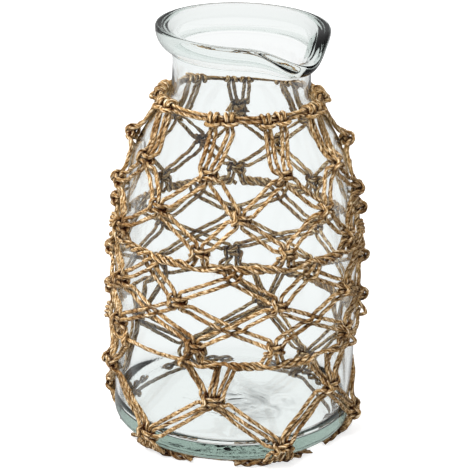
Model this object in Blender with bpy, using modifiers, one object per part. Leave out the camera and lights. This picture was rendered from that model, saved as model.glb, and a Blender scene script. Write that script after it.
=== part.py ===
"""Glass bottle vase with a pouring lip, dressed in a knotted jute net.

The bottle is one blown shell: a thick base, a swelling body, a neck and a flared
rim that is pulled into a lip at +X.  The net is made of real cords.  A ring cord
lies twice round the foot of the neck and carries eighteen working cords, each
folded in half over it with a lark's head.  Square knots join their legs row by row,
two more ring cords bind the net round the body, and a drawstring ring under the
base closes it.  The vase stands on that ring.

Units are metres, +Z is up, and the origin is on the floor under the bottle's axis.
Places in the net are given as a turn round the axis, a run down the glass from the
neck over the side and under the base, and a layer: layer 1 lies on the glass, and
each layer after it is one pitch further out.
"""
import math

import bmesh
import bpy
from mathutils import Vector

MM = 0.001

# Bottle
BOTTLE_HEIGHT = 236.0 * MM
BODY_RADIUS = 70.4 * MM
NECK_RADIUS = 39.4 * MM
NECK_FOOT_SHARE = 197.0 / 236.0
NECK_FOOT_HEIGHT = BOTTLE_HEIGHT * NECK_FOOT_SHARE
BASE_CORNER_RADIUS = 6.0 * MM
WALL = 2.4 * MM
FLOOR_THICKNESS = 8.0 * MM
FLOOR_CORNER_RADIUS = 9.0 * MM
RIM_REACH = 9.2 * MM
RIM_RADIUS = NECK_RADIUS + RIM_REACH
RIM_DEPTH = 15.0 * MM
LIP_REACH = 6.0 * MM
LIP_DIP = 10.5 * MM
LIP_DEPTH = 30.0 * MM
LIP_SPREAD = math.radians(15.0)
BOTTLE_SIDES = 40
CORNER_STEPS = 3
# The body's radius, from neck to widest, just above the base corner
SIDE_FOOT_SHARE = 0.965
BODY_FOOT_RADIUS = NECK_RADIUS + SIDE_FOOT_SHARE * (BODY_RADIUS - NECK_RADIUS)
# Height up to the neck's foot and radius from neck to widest, from the base upwards
SIDE_SHARES = (
    (0.315, 1.000), (0.508, 0.968), (0.650, 0.880), (0.772, 0.742), (0.853, 0.578),
    (0.898, 0.416), (0.944, 0.226), (0.975, 0.084), (1.000, 0.012),
)
# Reach from the neck's wall to the rim and height up the rim's depth
RIM_INNER_SHARES = ((0.00, 0.30), (0.00, 0.66), (0.02, 0.745), (0.12, 0.80), (0.35, 0.88), (0.62, 0.955))
RIM_OUTER_SHARES = (
    (0.86, 1.00), (0.96, 0.97), (1.00, 0.89), (0.99, 0.75), (0.92, 0.57), (0.78, 0.38),
    (0.55, 0.21), (0.26, 0.08), (0.03, 0.01),
)
RIM_WIDEST = 2

# Cord
CORD_DIAMETER = 2.1 * MM
CLEARANCE = 0.3 * MM
CORD_RADIUS = CORD_DIAMETER / 2
PITCH = CORD_DIAMETER + CLEARANCE
FOOT_CUT = CORD_DIAMETER / 10
WORKING_SIDES = 4
RING_SIDES = 6
FOOT_SIDES = 8
RING_GAP = 2 * CLEARANCE
WELD = CORD_DIAMETER / 1000

# Net: heights of the rings and rows as shares of the neck's foot height
TOP_RING_SHARE = 193.0 / 197.0
ROW_1_SHARE = 166.5 / 197.0
ROW_2_SHARE = 145.5 / 197.0
ROW_3_SHARE = 126.0 / 197.0
ROW_4_SHARE = 97.0 / 197.0
ROW_5_SHARE = 84.5 / 197.0
ROW_6_SHARE = 72.0 / 197.0
ROW_7_SHARE = 41.0 / 197.0
ROW_8_SHARE = 10.5 / 197.0
TOP_RING_HEIGHT = TOP_RING_SHARE * NECK_FOOT_HEIGHT
ROW_1_HEIGHT = ROW_1_SHARE * NECK_FOOT_HEIGHT
ROW_2_HEIGHT = ROW_2_SHARE * NECK_FOOT_HEIGHT
ROW_3_HEIGHT = ROW_3_SHARE * NECK_FOOT_HEIGHT
ROW_4_HEIGHT = ROW_4_SHARE * NECK_FOOT_HEIGHT
ROW_5_HEIGHT = ROW_5_SHARE * NECK_FOOT_HEIGHT
ROW_6_HEIGHT = ROW_6_SHARE * NECK_FOOT_HEIGHT
ROW_7_HEIGHT = ROW_7_SHARE * NECK_FOOT_HEIGHT
ROW_8_HEIGHT = ROW_8_SHARE * NECK_FOOT_HEIGHT
# Net: the two body rings hang close below a row, and the base ring stands inside the foot
MID_RING_DROP = 8.0 * MM
LOW_RING_DROP = 10.0 * MM
BASE_RING_INSET = 3.3 * MM
MID_RING_HEIGHT = ROW_3_HEIGHT - MID_RING_DROP
LOW_RING_HEIGHT = ROW_6_HEIGHT - LOW_RING_DROP
BASE_RING_RADIUS = BODY_FOOT_RADIUS - BASE_CORNER_RADIUS - BASE_RING_INSET

# Net: counts and turns
HEAD_PAIRS = 9
REPEATS = 3
PAIR_TURN = 2 * math.pi / HEAD_PAIRS
HALF_TURN = PAIR_TURN / 2
REPEAT_TURN = 2 * math.pi / REPEATS
FIRST_TURN = math.radians(-62.0)
BACK_TURN = math.radians(138.0)
BACK_PAIR = 5
BASE_FIRST = 2
LOW_TWIST_TURN = math.radians(21.0)
SHORT_TWIST_TURN = math.radians(12.5)
BASE_CORNER_TURN = math.radians(7.0)
BEND_TURN = math.radians(15.0)
TOP_RING_STEPS = 32
TWIST_STEPS = 4

# Knots and twists, as shares of a pitch
HEAD_OFFSET_SHARE = 1.85
BEHIND_SHARE = 1.05
MIDDLE_SHARE = 2.17
FRONT_SHARE = 3.2
FILLER_GAP_SHARES = {4: 1.6, 6: 1.35}
FILLER_EDGE_SHARE = 0.2
FILLER_REACH_SHARE = 2.5
LONG_REACH_SHARE = 2.9
SHORT_REACH_SHARE = 1.2
FILLER_STEP_SHARE = 0.8
TOP_RING_SPREAD_SHARE = 1.4
BASE_SPACING_SHARE = 1.2
BEND_LAYER_SHARE = 1.5
TWIST_LAYER_SHARE = 1.66
TWIST_RADIUS_SHARE = 0.62
RING_PHASE = -90.0
# Phase at the knot, and the shares of the way where the leg joins and leaves the ring
INNER_TWIST = (150.0, 0.16, 0.76)
OUTER_TWIST = (30.0, 0.28, 0.86)
# Left half of a lark's head over the top ring: across, up and layer
HEAD_SHARES = (
    (-0.5, -3.0, 1.4), (-0.5, -1.4, 1.0), (-0.5, 1.8, 1.0), (-0.8, 2.9, 2.2),
    (-1.05, 1.6, 3.4), (-1.05, -2.5, 3.0),
)
# Legs from left to right: across, up and layer where two pairs cross below the ring
EXIT_CROSSING = (
    (-0.32, -2.0, 2.5), (0.32, -2.8, 2.5), (-0.32, -2.8, 1.1), (0.32, -2.0, 1.1),
)
PLAIN_CROSSING = (
    (-0.32, -0.45, 1.05), (0.32, 0.45, 1.05), (-0.32, 0.45, 2.7), (0.32, -0.45, 2.7),
)# Where the lower ring's bare stretch has its points, from knot to knot
BARE_SHARES = (0.04, 0.2, 0.35, 0.5, 0.65, 0.8, 0.96)
# Across and layer where a pair's outer legs pass the lower ring, by kind and side
LOW_PASSES = {
    (0, True): ((-3.3, 3.4), (-2.1, 1.0)),
    (2, False): ((2.1, 1.0), (3.3, 3.4)),
}

# Hand slack: degrees that each knot sits off its even place, round the net
HEAD_SLACK = (7.0, 3.5, 2.0, -1.5, 1.0, 2.0, -1.0, 1.5, -5.0)
ROW_1_SLACK = (4.5, 3.0, -1.0, 1.5, -1.0, 1.0, -1.5, 1.0, 5.0)
ROW_2_SLACK = (1.5, 4.5, 1.0, -2.0, 1.0, -1.0, 1.5, -2.0, 0.5)
ROW_3_SLACK = (3.5, 2.5, 0.5, 1.0, -1.5, 1.0, 1.0, -1.0, -4.0)
EXIT_SLACK = (-2.0, -4.0, 1.0, 1.5, -1.0, 1.0, -1.0, 1.0, -2.0)
ROW_4_SLACK = (-5.5, -1.0, -3.5, 1.0, -1.0, 1.5, -1.5, 1.0, 1.0)
ROW_5_SLACK = (1.0, -1.5, 1.0, -1.0, 1.0, 1.5, -1.0, 1.0, 2.0)
ROW_6_SLACK = (3.5, -2.5, -3.0, 1.0, -1.0, 1.5, 1.0, -1.0, 0.5)
ROW_7_SLACK = (-1.8, 1.4, 1.0, -1.0, 1.5, 3.0)
ROW_8_SLACK = (3.0, -3.0, 0.0, 1.5, -1.0, 0.0)

# Colours
GLASS_COLOUR = (0.86, 0.95, 0.92, 1.0)
JUTE_COLOUR = (0.52, 0.33, 0.16, 1.0)


def layer_out(layer):
    """Height of a cord's centre line above the glass, for a layer that may be broken."""
    return CLEARANCE + CORD_RADIUS + (layer - 1) * PITCH


# The glass's underside stands this far above the floor: a ring in layer 2, cut flat
GLASS_LIFT = layer_out(2) + CORD_RADIUS - FOOT_CUT


def blend(low, high, share):
    """Value a share of the way from low to high."""
    return low + (high - low) * share


def side_line(wall):
    """Radius and height up the body's side, a wall's thickness in from the outside."""
    points = [(BODY_FOOT_RADIUS - wall, 0.0)]
    for up, swell in SIDE_SHARES:
        points.append((blend(NECK_RADIUS, BODY_RADIUS, swell) - wall, up * NECK_FOOT_HEIGHT))
    return points


def corner_line(foot_radius, floor, corner):
    """Quarter round from a floor up to a side, as radius and height."""
    points = []
    for step in range(CORNER_STEPS + 1):
        angle = math.pi / 2 * step / CORNER_STEPS
        points.append((
            foot_radius - corner + corner * math.sin(angle),
            floor + corner - corner * math.cos(angle),
        ))
    return points


def rim_outside():
    """Radius and height over the rim's bead, from its crest down to the neck."""
    rim_foot = BOTTLE_HEIGHT - RIM_DEPTH
    return [
        (blend(NECK_RADIUS, RIM_RADIUS, reach), rim_foot + up * RIM_DEPTH)
        for reach, up in RIM_OUTER_SHARES
    ]


def bottle_line():
    """Closed section of the bottle: up its inside, over the rim and down its outside."""
    inside = side_line(WALL)
    outside = side_line(0.0)
    neck_inside = NECK_RADIUS - WALL
    rim_foot = BOTTLE_HEIGHT - RIM_DEPTH
    line = [(0.0, FLOOR_THICKNESS)]
    line += corner_line(inside[0][0], FLOOR_THICKNESS, FLOOR_CORNER_RADIUS)
    line += inside[1:]
    for reach, up in RIM_INNER_SHARES:
        line.append((blend(neck_inside, RIM_RADIUS, reach), rim_foot + up * RIM_DEPTH))
    line += rim_outside()
    line += reversed(outside[1:])
    line += reversed(corner_line(outside[0][0], 0.0, BASE_CORNER_RADIUS))
    line.append((0.0, 0.0))
    return line


def net_line():
    """Run of the net down the glass: length, radius, height and lean at each point.

    The lean is the angle of the outward direction above the level.
    """
    outside = side_line(0.0)
    corner = corner_line(outside[0][0], 0.0, BASE_CORNER_RADIUS)
    line = rim_outside()[RIM_WIDEST:]
    line += reversed(outside[1:])
    line += reversed(corner)
    line.append((corner[0][0] - CORD_DIAMETER, 0.0))
    line.append((0.0, 0.0))
    leans = []
    for (radius, height), (next_radius, next_height) in zip(line, line[1:]):
        leans.append(math.atan2(next_radius - radius, height - next_height))
    run = []
    length = 0.0
    for index, (radius, height) in enumerate(line):
        before = leans[max(index - 1, 0)]
        after = leans[min(index, len(leans) - 1)]
        if index:
            length += math.dist(line[index - 1], line[index])
        run.append((length, radius, height, (before + after) / 2))
    return run


RUN = net_line()


def run_at(length):
    """Radius, height and lean of the glass at a length down the run."""
    for start, end in zip(RUN, RUN[1:]):
        if length <= end[0] or end is RUN[-1]:
            share = (length - start[0]) / (end[0] - start[0])
            return tuple(blend(start[i], end[i], share) for i in (1, 2, 3))
    return RUN[-1][1:]


def run_to_height(height):
    """Length down the run to a height on the neck or the side."""
    for start, end in zip(RUN, RUN[1:]):
        if end[2] <= height:
            share = (start[2] - height) / (start[2] - end[2])
            return blend(start[0], end[0], share)
    return RUN[-1][0]


def run_to_underside(radius):
    """Length down the run to a radius on the flat underside."""
    return RUN[-1][0] - radius


def net_point(turn, length, layer):
    """Place in space of a turn, a run and a layer."""
    radius, height, lean = run_at(length)
    out = layer_out(layer)
    reach = radius + out * math.cos(lean)
    lift = GLASS_LIFT + height + out * math.sin(lean)
    return Vector((reach * math.cos(turn), reach * math.sin(turn), lift))


class Place:
    """A knot's place on the net, which puts the points of its own sketch there.

    The sketch is in pitches: across to the right as seen from outside, up, and layer.
    """

    def __init__(self, turn, length):
        self.turn = turn
        self.length = length
        radius, _, lean = run_at(length)
        self.reach = radius + layer_out(2) * math.cos(lean)

    def point(self, across, up, layer):
        """Turn, run and layer of one point of the sketch."""
        turn = self.turn + across * PITCH / self.reach
        return (turn, self.length - up * PITCH, layer)

    def points(self, sketch, shift=0.0):
        """Turn, run and layer of each point of a sketch, shifted across."""
        return [self.point(across + shift, up, layer) for across, up, layer in sketch]


def row_places(height, slack, first, step):
    """Places of a row's knots, evenly spaced but for their hand slack."""
    length = run_to_height(height)
    return [
        Place(first + step * index + math.radians(value), length)
        for index, value in enumerate(slack)
    ]


def uneven_places(height, slack, first_turns):
    """Places of the lower rows' knots, a few to each repeat of the net."""
    length = run_to_height(height)
    places = []
    for index, value in enumerate(slack):
        repeat, kind = divmod(index, len(first_turns))
        turn = FIRST_TURN + repeat * REPEAT_TURN + first_turns[kind]
        places.append(Place(turn + math.radians(value), length))
    return places


HEADS = row_places(TOP_RING_HEIGHT, HEAD_SLACK, FIRST_TURN, PAIR_TURN)
ROW_1 = row_places(ROW_1_HEIGHT, ROW_1_SLACK, FIRST_TURN, PAIR_TURN)
ROW_2 = row_places(ROW_2_HEIGHT, ROW_2_SLACK, FIRST_TURN + HALF_TURN, PAIR_TURN)
ROW_3 = row_places(ROW_3_HEIGHT, ROW_3_SLACK, FIRST_TURN, PAIR_TURN)
EXITS = row_places(MID_RING_HEIGHT, EXIT_SLACK, FIRST_TURN + HALF_TURN, PAIR_TURN)
ROW_4 = row_places(ROW_4_HEIGHT, ROW_4_SLACK, FIRST_TURN, PAIR_TURN)
ROW_5 = row_places(ROW_5_HEIGHT, ROW_5_SLACK, FIRST_TURN + HALF_TURN, PAIR_TURN)
ROW_6 = row_places(ROW_6_HEIGHT, ROW_6_SLACK, FIRST_TURN, PAIR_TURN)
ROW_7 = uneven_places(ROW_7_HEIGHT, ROW_7_SLACK, (PAIR_TURN / 3, PAIR_TURN * 5 / 3))
ROW_8 = uneven_places(ROW_8_HEIGHT, ROW_8_SLACK, (PAIR_TURN, PAIR_TURN * 5 / 2))
MID_LENGTH = run_to_height(MID_RING_HEIGHT)
LOW_LENGTH = run_to_height(LOW_RING_HEIGHT)


def square_knot(place, slot, slots, top=FILLER_REACH_SHARE, bottom=FILLER_REACH_SHARE):
    """Way of one leg through a square knot, from the top down.

    Slots count from the left.  The first leg wraps in front of the others and turns
    back at the right, the last wraps behind them and turns back at the left, and the
    legs between them run straight down, each a little longer than its outer neighbour.
    """
    gap = FILLER_GAP_SHARES[slots]
    side = gap * (slots - 3) / 2 + FILLER_EDGE_SHARE
    if slot == 0:
        return place.points((
            (-side - 1.0, 2.0, 1.7), (-side - 0.35, 0.6, FRONT_SHARE), (side + 0.1, 0.6, FRONT_SHARE),
            (side + 1.2, 0.0, 2.3), (side + 0.1, -0.6, FRONT_SHARE), (-side - 0.35, -0.6, FRONT_SHARE),
            (-side - 1.0, -2.0, 1.7),
        ))
    if slot == slots - 1:
        return place.points((
            (side + 1.2, 2.0, 1.7), (side + 0.1, 0.7, BEHIND_SHARE), (-side - 0.2, 0.7, BEHIND_SHARE),
            (-side - 1.4, 0.0, 2.4), (-side - 0.2, -0.7, BEHIND_SHARE), (side + 0.1, -0.7, BEHIND_SHARE),
            (side + 1.2, -2.0, 1.7),
        ))
    across = gap * (slot - (slots - 1) / 2)
    inner = FILLER_STEP_SHARE * min(slot - 1, slots - 2 - slot)
    return place.points(((across, top + inner, MIDDLE_SHARE), (across, -bottom - inner, MIDDLE_SHARE)))


def larks_head(place, shift):
    """Way of a working cord over the top ring, from its left leg to its right leg."""
    other = tuple((-across, up, layer) for across, up, layer in reversed(HEAD_SHARES))
    return place.points(HEAD_SHARES + other, shift)


def twist_point(start, end, length, share, phase):
    """One strand of a ring twist, a share of the way from a knot to where it ends."""
    angle = math.radians(phase) + math.pi * share
    up = TWIST_RADIUS_SHARE * math.sin(angle)
    layer = TWIST_LAYER_SHARE + TWIST_RADIUS_SHARE * math.cos(angle)
    return (blend(start, end, share), length - up * PITCH, layer)


def twist_run(start, end, length, inner):
    """Way of one leg along a ring, twisted with its fellow and the ring cord."""
    phase, enter, leave = INNER_TWIST if inner else OUTER_TWIST
    points = []
    for step in range(TWIST_STEPS):
        share = blend(enter, leave, step / (TWIST_STEPS - 1))
        points.append(twist_point(start, end, length, share, phase))
    return points


def route(number):
    """Way of one leg from its lark's head down to the base ring.

    Legs are numbered round the net, four to each pair of heads.
    """
    pair, leg = divmod(number, 4)
    left = leg < 2
    inner = leg in (1, 2)
    left_place = (pair - 1) % HEAD_PAIRS
    crossed_slot = (leg + 2) % 4
    points = square_knot(ROW_1[pair], leg, 4)
    points += square_knot(ROW_2[left_place if left else pair], crossed_slot, 4)
    points += square_knot(ROW_3[pair], leg, 4)

    way_out = EXITS[left_place if left else pair]
    way_turn = near_turn(way_out.turn, ROW_3[pair].turn)
    points += twist_run(ROW_3[pair].turn, way_turn, MID_LENGTH, inner)
    points.append(way_out.point(*EXIT_CROSSING[leg]))

    crossed = ROW_4[left_place if left else (pair + 1) % HEAD_PAIRS]
    points += square_knot(crossed, crossed_slot, 4, bottom=LONG_REACH_SHARE)
    points.append(ROW_5[left_place if left else pair].point(*PLAIN_CROSSING[leg]))
    points += square_knot(ROW_6[pair], leg, 4, top=LONG_REACH_SHARE)

    low_place = Place(ROW_6[pair].turn, LOW_LENGTH)
    kind = pair % REPEATS
    if (kind, left) in LOW_PASSES:
        across, layer = LOW_PASSES[kind, left][leg % 2]
        points.append(low_place.point(across, 0.0, layer))
    else:
        travel = LOW_TWIST_TURN if kind == 1 else SHORT_TWIST_TURN
        away = low_place.turn + (-travel if left else travel)
        points += twist_run(low_place.turn, away, LOW_LENGTH, inner)

    knot, slot = divmod(number, 6)
    points += square_knot(ROW_7[knot], slot, 6)
    knot, slot = divmod(number - 3, 6)
    points += square_knot(ROW_8[knot], slot, 6, bottom=SHORT_REACH_SHARE)
    points += base_hook(ROW_8[knot], slot)
    return points


def base_hook(place, slot):
    """Way of one leg round the base corner, over the base ring and down inside it."""
    turn = place.turn + (slot - 2.5) * BASE_SPACING_SHARE * PITCH / BASE_RING_RADIUS
    ring = run_to_underside(BASE_RING_RADIUS)
    return [
        (turn, run_to_height(BASE_CORNER_RADIUS / 3), 1.4),
        (turn, ring - PITCH, 1.2),
        (turn, ring, 1.0),
        (turn, ring + 1.1 * PITCH, 1.25),
        (turn, ring + 1.15 * PITCH, 1.85),
    ]


def near_turn(turn, other):
    """The same turn, moved by whole turns to lie within half a turn of another."""
    while turn - other > math.pi:
        turn -= 2 * math.pi
    while other - turn > math.pi:
        turn += 2 * math.pi
    return turn


def in_space(points):
    """Points of a cord in space, with a bend over the glass in each long stretch."""
    bent = [points[0]]
    for point in points[1:]:
        last = bent[-1]
        turn = near_turn(point[0], last[0])
        if abs(turn - last[0]) > BEND_TURN:
            bent.append(((last[0] + turn) / 2, (last[1] + point[1]) / 2, BEND_LAYER_SHARE))
        bent.append((turn, point[1], point[2]))
    return [net_point(*point) for point in bent]


def net_cord_points(number):
    """Centre line of one working cord, from its left leg's end to its right leg's end."""
    pair, right = divmod(number, 2)
    shift = HEAD_OFFSET_SHARE if right else -HEAD_OFFSET_SHARE
    first_leg = route(2 * number)
    second_leg = route(2 * number + 1)
    first_leg.reverse()
    return in_space(first_leg + larks_head(HEADS[pair], shift) + second_leg)


def top_ring_points():
    """Centre line of the top ring cord: two turns side by side, with the ends behind."""
    length = run_to_height(TOP_RING_HEIGHT)
    points = []
    for step in range(2 * TOP_RING_STEPS + 1):
        turns = step / TOP_RING_STEPS
        up = TOP_RING_SPREAD_SHARE * (turns - 1)
        turn = BACK_TURN + 2 * math.pi * turns
        points.append(net_point(turn, length - up * PITCH, MIDDLE_SHARE))
    return points


def open_ring(points):
    """Ring's centre line with its two ends a small gap apart."""
    last = points[-1]
    step = points[0] - last
    return points + [last + step * (1 - RING_GAP / step.length)]


def ring_twist(start, end, length):
    """Way of a ring cord beside one pair of legs, from their knot to where they leave."""
    return [
        twist_point(start, end, length, step / TWIST_STEPS, RING_PHASE)
        for step in range(TWIST_STEPS + 1)
    ]


def mid_ring_points():
    """Centre line of the middle ring cord, twisted with the legs all the way round."""
    points = []
    for count in range(HEAD_PAIRS):
        pair = (count + BACK_PAIR) % HEAD_PAIRS
        following = (pair + 1) % HEAD_PAIRS
        start = ROW_3[pair].turn
        end = near_turn(EXITS[pair].turn, start)
        points += ring_twist(start, end, MID_LENGTH)
        start = ROW_3[following].turn
        end = near_turn(EXITS[pair].turn, start)
        points += reversed(ring_twist(start, end, MID_LENGTH)[1:-1])
    return open_ring([net_point(*point) for point in points])


def low_ring_points():
    """Centre line of the lower ring cord, twisted only where legs run along it."""
    points = []
    for count in range(REPEATS):
        first = (REPEATS * count + BACK_PAIR) // REPEATS * REPEATS
        places = [ROW_6[(first + step) % HEAD_PAIRS] for step in range(REPEATS + 1)]
        turns = [places[0].turn]
        for place in places[1:]:
            turns.append(near_turn(place.turn, turns[-1] + PAIR_TURN))
        points += ring_twist(turns[0], turns[0] + SHORT_TWIST_TURN, LOW_LENGTH)
        points += reversed(ring_twist(turns[1], turns[1] - LOW_TWIST_TURN, LOW_LENGTH))
        points += ring_twist(turns[1], turns[1] + LOW_TWIST_TURN, LOW_LENGTH)[1:]
        points += reversed(ring_twist(turns[2], turns[2] - SHORT_TWIST_TURN, LOW_LENGTH))
        for share in BARE_SHARES:
            points.append((blend(turns[2], turns[3], share), LOW_LENGTH, MIDDLE_SHARE))
    return open_ring([net_point(*point) for point in points])


def base_ring_points():
    """Centre line of the base ring cord: pulled into a corner at each lowest knot."""
    points = []
    ring = run_to_underside(BASE_RING_RADIUS)
    for count in range(len(ROW_8)):
        turn = ROW_8[(count + BASE_FIRST) % len(ROW_8)].turn
        for side in (-1, 1):
            points.append(net_point(turn + side * BASE_CORNER_TURN, ring, 2.0))
    return open_ring(points)


def material(name, colour, roughness, clear=0.0):
    """Principled material in one plain colour."""
    made = bpy.data.materials.new(name)
    made.use_nodes = True
    shader = made.node_tree.nodes["Principled BSDF"]
    shader.inputs["Base Color"].default_value = colour
    shader.inputs["Roughness"].default_value = roughness
    shader.inputs["Metallic"].default_value = 0.0
    shader.inputs["Transmission Weight"].default_value = clear
    made.diffuse_color = colour
    return made


def place_object(collection, name, data, finish):
    """Object with its own finish in a collection."""
    made = bpy.data.objects.new(name, data)
    data.materials.append(finish)
    collection.objects.link(made)
    return made


def cord(collection, name, points, sides):
    """Round cord along a centre line, with flat closed ends."""
    curve = bpy.data.curves.new(name, "CURVE")
    curve.dimensions = "3D"
    curve.bevel_depth = CORD_RADIUS
    curve.bevel_resolution = sides // 2 - 2
    curve.resolution_u = 1
    curve.render_resolution_u = 0
    curve.use_fill_caps = True
    spline = curve.splines.new("POLY")
    spline.points.add(len(points) - 1)
    for target, point in zip(spline.points, points):
        target.co = (*point, 1.0)
    return place_object(collection, name, curve, material(name, JUTE_COLOUR, 0.9))


def to_mesh(source):
    """Mesh object in the place of a curve object, with its end caps welded on."""
    graph = bpy.context.evaluated_depsgraph_get()
    mesh = bpy.data.meshes.new_from_object(source.evaluated_get(graph))
    shape = bmesh.new()
    shape.from_mesh(mesh)
    bmesh.ops.remove_doubles(shape, verts=shape.verts, dist=WELD)
    shape.to_mesh(mesh)
    shape.free()
    name = source.name
    made = bpy.data.objects.new(name, mesh)
    made.matrix_world = source.matrix_world
    source.users_collection[0].objects.link(made)
    bpy.data.objects.remove(source)
    made.name = name
    return made


def cut_flat(target, cutters):
    """Cut a ring flat where it stands on the floor."""
    shape = bmesh.new()
    bmesh.ops.create_cube(shape, size=1.0)
    width = 3 * BODY_RADIUS
    bmesh.ops.scale(shape, vec=(width, width, CORD_DIAMETER), verts=shape.verts)
    bmesh.ops.translate(shape, vec=(0.0, 0.0, -CORD_DIAMETER / 2), verts=shape.verts)
    mesh = bpy.data.meshes.new("floor_cutter")
    shape.to_mesh(mesh)
    shape.free()
    cutter = bpy.data.objects.new("floor_cutter", mesh)
    cutter.hide_render = True
    cutter.display_type = "WIRE"
    cutters.objects.link(cutter)
    cut = target.modifiers.new("foot", "BOOLEAN")
    cut.operation = "DIFFERENCE"
    cut.solver = "EXACT"
    cut.object = cutter


def pull_lip(shape):
    """Pull the rim outward and down into a pouring lip at +X."""
    foot = GLASS_LIFT + BOTTLE_HEIGHT - LIP_DEPTH
    for vertex in shape.verts:
        rise = (vertex.co.z - foot) / LIP_DEPTH
        if rise <= 0:
            continue
        turn = math.atan2(vertex.co.y, vertex.co.x)
        pull = math.exp(-((turn / LIP_SPREAD) ** 2) / 2) * rise * rise * (3 - 2 * rise)
        radius = math.hypot(vertex.co.x, vertex.co.y)
        grown = (radius + LIP_REACH * pull) / radius
        vertex.co.x *= grown
        vertex.co.y *= grown
        vertex.co.z -= LIP_DIP * pull


def glass_bottle(collection):
    """Bottle, turned from its section and then pulled into a lip."""
    line = bottle_line()
    mesh = bpy.data.meshes.new("glass_bottle")
    points = [(radius, 0.0, GLASS_LIFT + height) for radius, height in line]
    edges = [(index, index + 1) for index in range(len(points) - 1)]
    mesh.from_pydata(points, edges, [])
    made = bpy.data.objects.new("glass_bottle_section", mesh)
    collection.objects.link(made)
    screw = made.modifiers.new("turn", "SCREW")
    screw.axis = "Z"
    screw.steps = BOTTLE_SIDES
    screw.render_steps = BOTTLE_SIDES
    screw.use_merge_vertices = True
    screw.merge_threshold = WELD
    graph = bpy.context.evaluated_depsgraph_get()
    turned = bpy.data.meshes.new_from_object(made.evaluated_get(graph))
    bpy.data.objects.remove(made)
    turned.name = "glass_bottle"
    shape = bmesh.new()
    shape.from_mesh(turned)
    bmesh.ops.remove_doubles(shape, verts=shape.verts, dist=WELD)
    pull_lip(shape)
    shape.to_mesh(turned)
    shape.free()
    turned.shade_smooth()
    glass = material("glass_bottle", GLASS_COLOUR, 0.03, clear=1.0)
    return place_object(collection, "glass_bottle", turned, glass)


def least_gap_to_self(points):
    """Least free space between stretches of one cord that don't follow each other."""
    least = None
    for index, point in enumerate(points):
        along = 0.0
        for other in range(index + 1, len(points)):
            along += (points[other] - points[other - 1]).length
            gap = (points[other] - point).length
            if along > 3 * gap and (least is None or gap < least):
                least = gap
    return least - CORD_DIAMETER


def main():
    """Build the vase: the bottle, the four ring cords and the eighteen net cords."""
    for old in list(bpy.data.objects):
        bpy.data.objects.remove(old)
    parts = bpy.data.collections.new("bottle_vase")
    cutters = bpy.data.collections.new("cutters")
    for collection in (parts, cutters):
        bpy.context.scene.collection.children.link(collection)
    glass_bottle(parts)
    cord(parts, "top_ring_cord", top_ring_points(), RING_SIDES)
    cord(parts, "mid_ring_cord", mid_ring_points(), WORKING_SIDES)
    cord(parts, "low_ring_cord", low_ring_points(), WORKING_SIDES)
    cut_flat(to_mesh(cord(parts, "base_ring_cord", base_ring_points(), FOOT_SIDES)), cutters)
    for number in range(2 * HEAD_PAIRS):
        cord(parts, f"net_cord_{number + 1:02d}", net_cord_points(number), WORKING_SIDES)
    gap = least_gap_to_self(top_ring_points())
    print(f"top_ring_cord: least gap between its turns {gap / MM:.2f} mm")


main()
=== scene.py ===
"""Dressed model of a glass bottle vase in a knotted jute net.

The bottle is turned from a smooth section and its rim is pulled into a pouring lip.
The net is real twine: each cord is one three-ply strand with its own lay, wander and
stray fibres, and runs through the same knots, rings and crossings as in the CAD.

Places in the net are given as a turn round the axis, a run down the glass from the
neck over the side and under the base, and a layer out from the glass.
"""
import logging
import math
import random
from dataclasses import dataclass, field
from enum import Enum

import bmesh
import bpy
import numpy as np
from mathutils import Matrix, Vector, noise
from mathutils.kdtree import KDTree


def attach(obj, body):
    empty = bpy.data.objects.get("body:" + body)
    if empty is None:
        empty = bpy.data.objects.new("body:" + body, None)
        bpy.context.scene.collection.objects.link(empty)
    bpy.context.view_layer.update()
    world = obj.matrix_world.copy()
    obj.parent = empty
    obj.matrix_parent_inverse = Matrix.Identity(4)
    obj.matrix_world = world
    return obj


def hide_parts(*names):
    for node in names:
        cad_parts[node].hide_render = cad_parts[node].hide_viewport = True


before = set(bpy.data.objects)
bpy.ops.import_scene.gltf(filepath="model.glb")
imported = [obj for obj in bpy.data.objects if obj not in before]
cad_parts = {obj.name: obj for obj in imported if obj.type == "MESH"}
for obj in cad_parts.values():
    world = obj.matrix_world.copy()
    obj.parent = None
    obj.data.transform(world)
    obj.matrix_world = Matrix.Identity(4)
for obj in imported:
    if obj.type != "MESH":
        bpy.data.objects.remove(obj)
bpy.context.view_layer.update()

log = logging.getLogger("bottle_vase")

MM = 0.001
FULL_TURN = 2 * math.pi
IMAGE_SIZE = 470
LEAST_GAP = 1e-9
# attribute of painted shade: darker where strands crowd together and at the cords' low ends
PAINTED_SHADE_ATTRIBUTE = "painted_crevice_shade"
WHITE = (1.0, 1.0, 1.0, 1.0)
Colour = tuple[float, float, float, float]
Pair = tuple[float, float]
Point = tuple[float, float, float]
Sketch = tuple[Point, ...]


def blend(low: float, high: float, share: float) -> float:
    """Value a share of the way from low to high."""
    return low + (high - low) * share


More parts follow.
